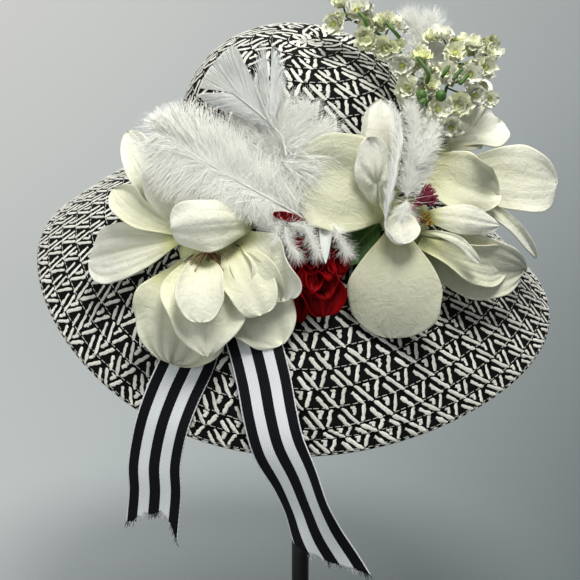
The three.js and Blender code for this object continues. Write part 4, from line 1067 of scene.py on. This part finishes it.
def petal(piece, values, rng, thickness=PETAL_THICKNESS, grid=PETAL_GRID):
    """One cloth petal with pressed creases that fan out, a waved rim and pleats at its tip."""
    blade = Blade(values)
    row = blade.row
    t, v = grid_shares(*grid)
    t = 1 - (1 - t) ** 1.5
    phase = rng.uniform(0, TURN, 8)
    fade = np.sin(np.clip(t * 1.3, 0, 1) * math.pi / 2)

    def ripple(waves):
        return sum(size * np.sin(along * t + across * v + phase[k]) for size, along, across, k in waves)

    waves = np.abs(v) ** 3 * ripple(RIM_WAVES) + t**4 * ripple(TIP_WAVES)
    dents = ripple(DENT_WAVES[:1]) * ripple(DENT_WAVES[1:]) * fade
    pressed = soft = 0 * t * v
    for k in range(row["creases"]):
        place = -0.85 + 1.7 * (k + rng.uniform(0.1, 0.9)) / row["creases"]
        bend = place + rng.uniform(-0.09, 0.09) * np.sin(2.6 * t + phase[3] + k)
        width = rng.uniform(0.05, 0.13)
        window = np.clip((t - rng.uniform(-0.1, 0.25)) * 6, 0, 1)
        window = window * np.clip((rng.uniform(0.75, 1.15) - t) * 5, 0, 1)
        crease = np.exp(-(np.abs((v - bend) / width) ** 1.3))
        pressed = pressed + rng.uniform(0.35, 1) * window * crease
    pressed = pressed * fade * row["crease"]
    for _ in range(SOFT_FOLDS):
        place = rng.uniform(-0.75, 0.75) + rng.uniform(-0.25, 0.25) * t
        height = rng.uniform(-1, 1)
        soft = soft + height * np.exp(-(((v - place) / rng.uniform(0.2, 0.4)) ** 2))
    soft = soft * fade * row["fold"]
    ridge = np.exp(-(np.abs(v / 0.07) ** 1.3)) * fade * (1 - t**3) * row["ridge"]
    swell = t**3 * row["pleat"]
    pleats = np.abs(np.sin(v * 8 + phase[6])) * swell
    knot_t, knot_v = (t - row["knot"][0]) * 2.2, v - row["knot"][1]
    reach = np.hypot(knot_v, knot_t)
    star = np.abs(np.sin(np.arctan2(knot_v, knot_t) * 3.5 + phase[5]))
    star = star * np.exp(-((reach - 0.35) ** 2) * 5) - 0.5 * np.exp(-((reach * 3) ** 2))
    relief = row["wave"] * waves - 0.8 * pressed - ridge + pleats - 0.5 * swell
    relief = relief + 0.5 * dents + row["crumple"] * star + soft

    # Painted shade: darker in the creases, the middle's groove, between the pleats, round the knot and in the
    # soft folds' hollows, and over the whole petal by its painted dimming
    shade = 0.55 * (pressed + 0.8 * ridge + (swell - pleats) * 0.7)
    shade = shade + row["crumple"] * 0.12 * (1 - star) * np.exp(-(reach**2) * 4)
    shade = np.clip(shade + row["painted_dimming"] - 0.12 * np.minimum(soft, 0), 0, 1)
    edge = ripple(TORN_WAVES) * np.clip(2 * t - 0.5, 0, 1) * np.abs(v) ** 4
    v_cut = v * (1 + row["torn"] * edge)
    fields = dict(along=t, across=v + rng.uniform(0, 40), shade=shade, tint=row["tint"])
    piece.add_sheet(*blade.sheet(t, v_cut, relief, thickness), **fields)


def lump(piece, place, size, grid=LUMP_GRID, **fields):
    """A round lump, such as a flower's calyx."""
    tall = np.linspace(0, math.pi, grid[0])[:, None]
    ball = polar(np.sin(tall), full_turn(grid[1]), np.cos(tall))
    piece.add(ball * size + place, closed=True, **fields)


def magnolias():
    for name, row in MAGNOLIAS.items():
        rng = rng_for(name + "_petals")
        flower = Piece()
        for values in row["petals"]:
            petal(flower, values, rng)
        # The calyx gets a little painted shade through its shade value
        lump(flower, **row["calyx"], along=0.1, across=0.0, shade=0.3, tint=0.3)
        flower.build(name + "_petals", [PETAL], "ivory_petal", name)


def rose():
    """Layered red satin petals round a rolled heart."""
    rng = rng_for("rose")
    flower = Piece()
    for row in ROSE_PETALS:
        petal(flower, {**ROSE_LOOK, **row}, rng, ROSE_THICKNESS, ROSE_GRID)
    # The heart lump is darkened with painted shade through its shade value
    lump(flower, (11, -62, 97), (12, 12, 11), along=0.0, across=0.0, shade=0.5, tint=0.0)
    turn = np.linspace(0, 2.6 * TURN, ROSE_HEART_GRID[0])[:, None]
    height = np.linspace(0, 1, ROSE_HEART_GRID[1])[None, :]
    flare = (2.0 + turn * 0.55) * (0.8 + 0.35 * height) + 0.5 * np.sin(5 * turn + 3) * height
    rise = height * (13 - 0.25 * turn) + 0.8 * np.sin(4 * turn)
    spiral = polar(flare, turn, rise) * [1, 1.05, 1] + [13, -64, 106]
    inner = spiral + polar(ROSE_THICKNESS, turn, 0 * rise)
    flower.add_sheet(spiral, inner, along=height, across=0.0, shade=0.0, tint=0.0)
    flower.build("rose_satin_petals", [ROSE], "red_satin", "rose")


def rose_leaf():
    rng = rng_for("rose_leaf")
    leaf = Piece()
    t, v = grid_shares(*LEAF_GRID)
    branch = np.abs(((t * 9 - np.abs(v) * 2.2) % 1) - 0.5) * 2
    vein = np.clip(1 - branch * 5, 0, 1) * (1 - np.abs(v)) + np.exp(-((v / 0.06) ** 2))
    relief = -0.5 * vein + 0.9 * np.abs(v) ** 2 * np.sin(t * 22 + rng.uniform(0, TURN))
    faces = Blade(ROSE_LEAF).sheet(t, v, relief, LEAF_THICKNESS)
    leaf.add_sheet(*faces, along=t, shade=np.clip(vein, 0, 1), tint=0.0)
    leaf.build("rose_leaf_cloth", [LEAF], "green_leaf", "rose_leaf")


def stamens():
    """Hairs that fan out from the heart of a flower, each with a small anther."""
    for name, row in STAMENS.items():
        rng = rng_for(name)
        count = row["count"]
        aim = unit(row["aim"])
        side = unit(np.cross([0, 0, 1.0], aim))
        turn = rng.uniform(0, TURN, count)
        spread = row["spread"] * np.sqrt(rng.uniform(0.02, 1, count))
        way = side * (spread * np.cos(turn))[:, None] + np.cross(aim, side) * (spread * np.sin(turn))[:, None]
        way = unit(aim + way)[:, None]
        length = (row["length"] * rng.uniform(0.75, 1.12, count))[:, None, None]
        share = np.linspace(0, 1, 5)[None, :, None]
        start = np.array(row["heart"], float) + way * row["size"] * 0.5
        droop = np.array([0, -1.0, 0]) * rng.uniform(0.05, 0.3, count)[:, None, None] * length
        paths = start + way * share * length + droop * share**2
        centre = Piece()
        centre.add_tubes(paths, 0.36 - 0.12 * share[..., 0], 4)
        tip = np.linspace(-1, 1, 5)
        anther = paths[:, -1:] + way * (tip * 1.5)[None, :, None]
        centre.add_tubes(anther, 0.55 * np.sqrt(np.clip(1.02 - tip**2, 0, 1)), 5, slot=1)
        lump(centre, row["heart"], [row["size"]] * 3)
        centre.build(name + "_hairs", row["looks"], "stamen", name)


# Feathers

def panel(piece, root, rim, rng, row):
    """One side of a feather: barbs from the quill to the rim over a thin web of barbs."""
    root, rim = along_curve(root, WEB_ROWS), along_curve(rim, WEB_ROWS)
    u = np.linspace(0, 1, BARB_POINTS)[None, :]

    def barbs(pick, reach, drift, rise):
        chord = rim[pick] - root[pick]
        side = np.cross([0, 0, 1.0], unit(chord))
        path = root[pick][:, None] + chord[:, None] * (u * reach[:, None])[..., None]
        path = path + side[:, None] * (drift[:, None] * u**2)[..., None]
        return path + np.array([0, 0, 1.0]) * (rise[:, None] * np.sin(u * 2.2))[..., None]

    reach = 1 - row["ragged"] * rng.uniform(0, 1, WEB_ROWS) ** 2
    web = barbs(np.arange(WEB_ROWS), reach, 0 * reach, rng.normal(0.2, 0.25, WEB_ROWS))
    piece.add(web, tone=np.clip(row["tone"] + 0.2 + 0.12 * rng.normal(0, 1, (WEB_ROWS, 1)), 0, 1))
    count, flying = row["barbs"], row["loose"] - 1
    pick = np.sort(rng.integers(0, WEB_ROWS, count))
    reach = rng.uniform(0.75, row["loose"], count)
    drift = flying * rng.normal(2, 16, count)
    paths = barbs(pick, reach, drift, rng.uniform(0.4, 1.2 + 6 * flying, count))
    half = BARB_HALF_WIDTH * (1 - 0.65 * u) * np.ones((count, 1))
    piece.add_strands(paths, FLUFF_FACE, half, tone=row["tone"] + rng.uniform(0, 0.4, (count, 1, 1)))


def down(piece, starts, ends, rng, count, spread, half_width=DOWN_HALF_WIDTH, curl=4.0):
    """Fine hairs of down from the lines between starts and ends, curling as they go."""
    pick = rng.integers(0, len(starts), count)
    root, tip = starts[pick], ends[pick]
    share = rng.uniform(0, 1, count)[:, None]
    origin = between(root, tip, share)
    length = spread * rng.uniform(0.35, 1.15, count)[:, None] * (1.1 - 0.5 * share)
    sideways = unit(rng.normal(0, 1, (count, 3)) * [1, 1, 0.3])
    way = unit(unit(tip - root) * rng.uniform(0.7, 2.2, count)[:, None] + sideways)
    u = np.linspace(0, 1, DOWN_POINTS)[None, :, None]
    bend = unit(rng.normal(0, 1, (count, 3)) * [1, 1, 0.4])
    sway = 0.4 * np.sin(u * 7 + rng.uniform(0, TURN, (count, 1, 1))) * u
    paths = origin[:, None] + way[:, None] * length[:, None] * u
    paths = paths + bend[:, None] * (curl * u**1.6) + sideways[:, None] * sway
    facing = FLUFF_FACE + rng.normal(0, 0.2, (count, 1, 3))
    half = half_width * (1 - 0.7 * u[..., 0]) * np.ones((count, 1))
    piece.add_strands(paths, facing, half, tone=rng.uniform(0.7, 1, (count, 1, 1)))


def feathers():
    for name, row in FEATHERS.items():
        rng = rng_for(name)
        piece = Piece()
        barbed = row["quill"][QUILL_BARE:]
        for rim in row["rims"]:
            panel(piece, barbed, rim, rng, row)
        quill = along_curve(row["quill"], QUILL_POINTS) + [0, 0, 0.6]
        width = np.interp(np.linspace(0, 1, QUILL_POINTS), [0, 0.3, 1], [0.8, 0.6, 0.2])
        piece.add_tubes(quill, width, 8, slot=1, tone=1.0)
        if "down" in row:
            line = along_curve(barbed, 24)
            down(piece, line[:-6], line[6:], rng, row["down"]["hairs"], row["down"]["length"])
        piece.build(name + "_vanes", [FEATHER, QUILL], "white_feather", name, outward=False)


def plumes():
    for name, row in PLUMES.items():
        rng = rng_for(name)
        piece = Piece()
        lines = [line for chain in row["chains"] for line in zip(chain, chain[1:])]
        heads, tips = np.array(lines, float).transpose(1, 0, 2)
        down(piece, heads, tips, rng, row["hairs"], row["length"], row["half_width"])
        if "cushion" in row:
            for head, tip in zip(heads, tips):
                middle = head + (tip - head) * 0.5
                blade = Blade(dict(base=head, tip=middle, width=row["cushion"], cup=-12))
                lift = 0.35 * rng.normal(0, 1, CUSHION_GRID) - 1.6
                tone = np.clip(rng.normal(0.75, 0.15, CUSHION_GRID), 0, 1)
                piece.add(blade.at(*grid_shares(*CUSHION_GRID), lift), tone=tone)
        shafts = [along_curve([a, (a + b) / 2 + [0, 0, 1], b], 14) for a, b in zip(heads, tips)]
        piece.add_tubes(np.stack(shafts), np.linspace(row["shaft"], 0.1, 14), 4, tone=0.9)
        if "tuft" in row:
            web = Blade(row["tuft"]).at(*grid_shares(*TUFT_GRID))
            piece.add_sheet(web, web - [0, 0, 0.3], tone=0.2)
        piece.build(name + "_down", [FEATHER], "white_feather", name, outward=False)


# Blossoms

def floret(piece, place, facing, radius, rng, tint):
    """A small ruffled flower: rings of crinkled petals round a green heart."""
    aim = unit(facing)
    side = unit(np.cross(aim, [0.2, 1.0, 0.1]))
    over = np.cross(aim, side)
    s = np.linspace(0.03, 1, FLORET_GRID[0])[None, :, None]
    w = np.linspace(-1, 1, FLORET_GRID[1])[None, None, :]
    for size, rise, petals in FLORET_RINGS:
        shape = (petals, 1, 1)
        turn = full_turn(petals).reshape(shape) + rng.normal(0, 0.16, shape)
        phase = rng.uniform(0, TURN, (3, *shape))
        notch = -0.2 * np.abs(w) ** 3 - 0.14 * np.exp(-((w / 0.25) ** 2)) + 0.06 * np.sin(9 * w + phase[2])
        reach = radius * size * rng.uniform(0.85, 1.12, shape) * s * (1 + notch * s**2)
        angle = turn + rng.uniform(0, TURN) + w * 3.6 / petals * (0.4 + 0.6 * np.sin(s * 2.1))
        ruffle = 0.2 * np.sin(w * 5 + phase[0]) + 0.15 * np.sin(w * 11 + phase[1])
        height = (rise + rng.normal(0, 0.22, shape)) * s**2 + ruffle * s**3 - 0.2 * (1 - s)
        front = polar(reach, angle, radius * size * height) @ [side, over, aim] + place
        piece.add(front, along=s**0.6, tint=tint, shade=0.0)
    heart = place + aim * radius * 0.1
    lump(piece, heart, [radius * 0.17] * 3, SMALL_LUMP_GRID, along=0.0, tint=1.0, shade=0.0)


def sprays():
    green = dict(slot=1, along=0.2, tint=0.0, shade=0.0)
    for name, row in SPRAYS.items():
        rng = rng_for(name)
        piece = Piece()
        stem = along_curve(row["stem"], STEM_POINTS)

        def twig(end, radius):
            """A thin stalk from the nearest place on the stem."""
            knot = stem[np.argmin(np.linalg.norm(stem - end, axis=1))]
            middle = (knot + end) / 2 + rng.normal(0, 1.2, 3)
            piece.add_tubes(along_curve([knot, middle, end], 12), radius, 6, **green)

        piece.add_tubes(stem, STEM_RADIUS, 8, **green)
        for flower in row["florets"]:
            place, face = (np.array(flower[key], float) for key in ("place", "face"))
            twig(place - unit(face) * 2, TWIG_RADIUS)
            radius = FLORET_RADIUS * flower["scale"]
            floret(piece, place, face, radius, rng, rng.uniform(0, 0.5))
            for _ in range(CLUSTER_SIZE):
                near = place + rng.normal(0, 1, 3) * CLUSTER_SPREAD - unit(face) * 3
                facing = face + rng.normal(0, 0.8, 3)
                floret(piece, near, facing, radius * rng.uniform(0.55, 0.85), rng, rng.uniform(0, 1))
        for place in row["buds"]:
            twig(np.array(place, float), BUD_STALK_RADIUS)
            lump(piece, place, BUD_SIZE, BUD_GRID, **green)
        for stalk in row["stalks"]:
            piece.add_tubes(along_curve(stalk, 16), STALK_RADIUS, 8, **green)
        piece.build(name + "_florets", [BLOSSOM, STEM], "cream_blossom", name)


# Ribbon

def ribbon_tail(name, stations, ends):
    rng = rng_for(name)
    rows, columns = TAIL_GRID
    line = along_curve(stations, rows)
    place, (slant, turn) = line[:, :3], np.radians(line[:, 3:].T)
    across = np.stack([np.cos(slant) * np.cos(turn), -np.sin(slant) * np.cos(turn), np.sin(turn)], axis=-1)
    along = unit(np.gradient(place, axis=0))
    face = unit(np.cross(across, along))
    face = np.where(face[:, 2:] < 0, -face, face)
    run = np.concatenate([[0], np.cumsum(np.linalg.norm(np.diff(place, axis=0), axis=1))])
    t, v = grid_shares(rows, columns)
    target = t * (run[-1] + np.interp(v, *np.transpose(ends)) + rng.normal(0, 0.8, columns))
    kept = np.clip(target, 0, run[-1])

    def spread(values):
        return np.stack([np.interp(kept, run, values[:, k]) for k in range(3)], axis=-1)

    middle = spread(place) + (target - kept)[..., None] * along[-1]
    side, normal = unit(spread(across)), unit(spread(face))
    ripple = 0.5 * np.sin(target / 17 + 1.5 * v) + 0.25 * np.sin(target / 7)
    droop = 1.2 * np.abs(v) ** 3 * np.sin(target / 23 + 2 * v)
    middle = middle + side * (v * RIBBON_WIDTH / 2)[..., None] + normal * (ripple + droop)[..., None]
    half = normal * RIBBON_THICKNESS / 2
    tail = Piece()
    tail.add_sheet(middle + half, middle - half, along=target / RIBBON_WIDTH, across=v)
    made = tail.build(name + "_cloth", [RIBBON], "striped_ribbon", name)

    pick = rng.integers(0, columns - 1, FRAY_THREADS)
    share = rng.uniform(0, 1, FRAY_THREADS)[:, None]
    root = between(middle[-1, pick], middle[-1, pick + 1], share)[:, None]
    way = unit(along[-1] + rng.normal(0, 0.28, (FRAY_THREADS, 3)))[:, None]
    u = np.linspace(0, 1, 6)[None, :, None]
    length = rng.uniform(1.5, 6, FRAY_THREADS)[:, None, None]
    paths = root - way + way * length * u + rng.normal(0, 0.6, (FRAY_THREADS, 1, 3)) * u**2
    white = ((v[0, pick] + 1) * 2.5).astype(int) % 2 == 1
    fray = Piece()
    for slot, chosen in enumerate((white, ~white)):
        fray.add_tubes(paths[chosen], 0.16, 4, slot=slot)
    threads = fray.build(name + "_fray", [THREAD, BLACK_THREAD], "striped_ribbon", outward=False)


def hatband():
    """The ribbon round the foot of the crown."""
    angle = full_turn(BAND_GRID[1])
    v = np.linspace(-1, 1, BAND_GRID[0])[:, None]
    share = (BAND_FOOT + RIBBON_WIDTH * (v + 1) / 2) / CROWN_HEIGHT
    outer, inner = (crown_point(angle, share, out) for out in BAND_FACES)
    slack = unit(outer - inner) * (0.25 * np.sin(9 * angle) * v**2)[..., None]
    outer, inner = outer + slack, inner + slack
    around = np.hypot(*outer[len(v) // 2, :, :2].T).mean() * TURN
    band = Piece(from_hat)
    band.add(
        np.concatenate([outer, inner[::-1]]), closed=True, looped=True,
        along=angle / TURN * around / RIBBON_WIDTH, across=np.concatenate([v, v[::-1]]),
    )
    made = band.build("hatband_cloth", [RIBBON], "striped_ribbon", "hatband")


# Stand

def turned(name, node, radius, corners, steps=5):
    """A round body from its profile of reach and height, with small arcs at its corners."""
    corners = [np.array(corner, float) for corner in corners]
    profile = [corners[0]]
    for before, corner, after in zip(corners, corners[1:], corners[2:]):
        first, last = (
            corner + unit(far - corner) * min(radius, np.linalg.norm(far - corner) / 2)
            for far in (before, after)
        )
        for t in np.arange(steps + 1) / steps:
            profile.append((1 - t) ** 2 * first + 2 * t * (1 - t) * corner + t * t * last)
    reach, height = np.array(profile + [corners[-1]]).T[..., None]
    body = Piece(np.asarray)
    body.add(polar(reach, full_turn(STAND_SIDES), height), closed=True)
    body.build(name, [STAND_BLACK], "stand_black", node)


def stand():
    foot, top = (corner.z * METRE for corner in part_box("stand_pad"))
    base = BASE_THICKNESS
    turned("stand_base_disc", "stand_base", 1.5, [
        (0, 0), (BASE_RADIUS - 1.5, 0), (BASE_RADIUS, 2), (BASE_RADIUS, base - 2),
        (BASE_RADIUS - 2, base), (0, base),
    ])
    turned("stand_pole_rod", "stand_pole", 1.2, [
        (0, base + GAP), (POLE_RADIUS * 2, base + GAP), (POLE_RADIUS * 2, base + 6),
        (POLE_RADIUS, base + 12), (POLE_RADIUS, foot - GAP), (0, foot - GAP),
    ])
    turned("stand_pad_disc", "stand_pad", 2, [
        (0, foot), (PAD_RADIUS, foot), (PAD_RADIUS, top - PAD_THICKNESS * 0.6),
        (PAD_RADIUS * 0.88, top - PAD_THICKNESS * 0.35),
        (PAD_RADIUS * 0.55, top - PAD_THICKNESS * 0.12), (0, top),
    ])


# Stage, light and camera

# The backdrop's grey is painted light, brighter upwards, further back and to the left: its
# value above the floor's middle, its gain upwards and with the distance from the camera, in
# metres, and how far off the camera is
PAINTED_LIGHT_GREY = dict(start=0.13, upwards=0.28, away=0.14, camera=1.1)


def backdrop():
    """A pale floor that curves up into a wall behind the stand; its grey is painted light and it glows a
    little.
    """
    side, floor_front, wall, bend, height = 2600, -2600, 2400, 1000, 3000
    arc = np.linspace(0, math.pi / 2, 16)
    y = np.concatenate([[floor_front, -1200, 0], wall - bend + bend * np.sin(arc), [wall]])
    z = np.concatenate([[0, 0, 0], bend - bend * np.cos(arc), [height]])
    x = np.linspace(-side, side, 12)
    # The backdrop glows at half strength in its own grey, a painted light that softens the shadows on it
    finish = Finish("backdrop_painted_light", roughness=0.95, emission_strength=0.5)
    axes = finish.tree.nodes.new("ShaderNodeSeparateXYZ")
    finish.put(axes.inputs[0], finish.places())
    away = finish.sum("MAXIMUM", finish.sum("ADD", axes.outputs[1], PAINTED_LIGHT_GREY["camera"]), 1.0)
    slope = finish.sum("ADD", finish.times(axes.outputs[2], PAINTED_LIGHT_GREY["upwards"]), PAINTED_LIGHT_GREY["start"])
    slope = finish.sum("ADD", slope, finish.times(away, PAINTED_LIGHT_GREY["away"]))
    slope = finish.sum("SUBTRACT", slope, finish.sum("DIVIDE", axes.outputs[0], away))
    # Painted light: the grey is brighter upwards, further back and to the left
    tone = finish.ramp(slope, (0, (56, 66, 68)), (0.5, (145, 151, 151)), (1, (184, 184, 182)))
    cloth = Piece(np.asarray)
    cloth.add(np.stack(np.broadcast_arrays(x, y[:, None], z[:, None]), axis=-1))
    show("backdrop", cloth.mesh("backdrop", [finish.set(base_color=tone, emission_color=tone)]))


# Lamps: place, target, size, power, colour
MIDDLE = (0, 0, 0.4)
LAMPS = dict(
    key=((0.3, -0.75, 2.2), MIDDLE, 0.9, 43, (1.0, 0.99, 0.95)),
    fill=((-1.3, -1.6, 1.1), MIDDLE, 1.4, 8, (0.98, 0.99, 1.0)),
    top=((0.1, 0.4, 2.0), MIDDLE, 0.9, 9, (1.0, 1.0, 1.0)),
    wall=((-0.5, 1.4, 1.5), (-0.6, 2.3, 0.5), 0.8, 3, (1.0, 1.0, 1.0)),
)
ROOM_LIGHT = (0.85, 0.87, 0.87, 1)
ROOM_STRENGTH = 0.31
CAMERA_PLACE = (-0.0084, -1.0986, 0.5456)
CAMERA_LEAN = 78                 # degrees from looking straight down
CAMERA_LENS = 88.42


def studio():
    for name, (place, target, size, power, colour) in LAMPS.items():
        data = bpy.data.lights.new(name, "AREA")
        data.shape, data.size, data.energy, data.color = "DISK", size, power, colour
        made = show(name, data)
        made.location = Vector(place)
        made.rotation_euler = (Vector(target) - made.location).to_track_quat("-Z", "Y").to_euler()
    world = bpy.data.worlds.new("room")
    world.use_nodes = True
    light = world.node_tree.nodes["Background"]
    light.inputs[0].default_value, light.inputs[1].default_value = ROOM_LIGHT, ROOM_STRENGTH
    bpy.context.scene.world = world
    bpy.context.scene.view_settings.view_transform = "Standard"


def camera():
    data = bpy.data.cameras.new("camera")
    data.lens, data.sensor_width, data.clip_start = CAMERA_LENS, 36, 0.05
    made = show("camera", data)
    made.location = CAMERA_PLACE
    made.rotation_euler = (math.radians(CAMERA_LEAN), 0, 0)
    bpy.context.scene.camera = made


camera()
backdrop()
studio()
hat_body()
hatband()
for name, row in TAILS.items():
    ribbon_tail(name, **row)
magnolias()
rose()
rose_leaf()
stamens()
feathers()
plumes()
sprays()
stand()
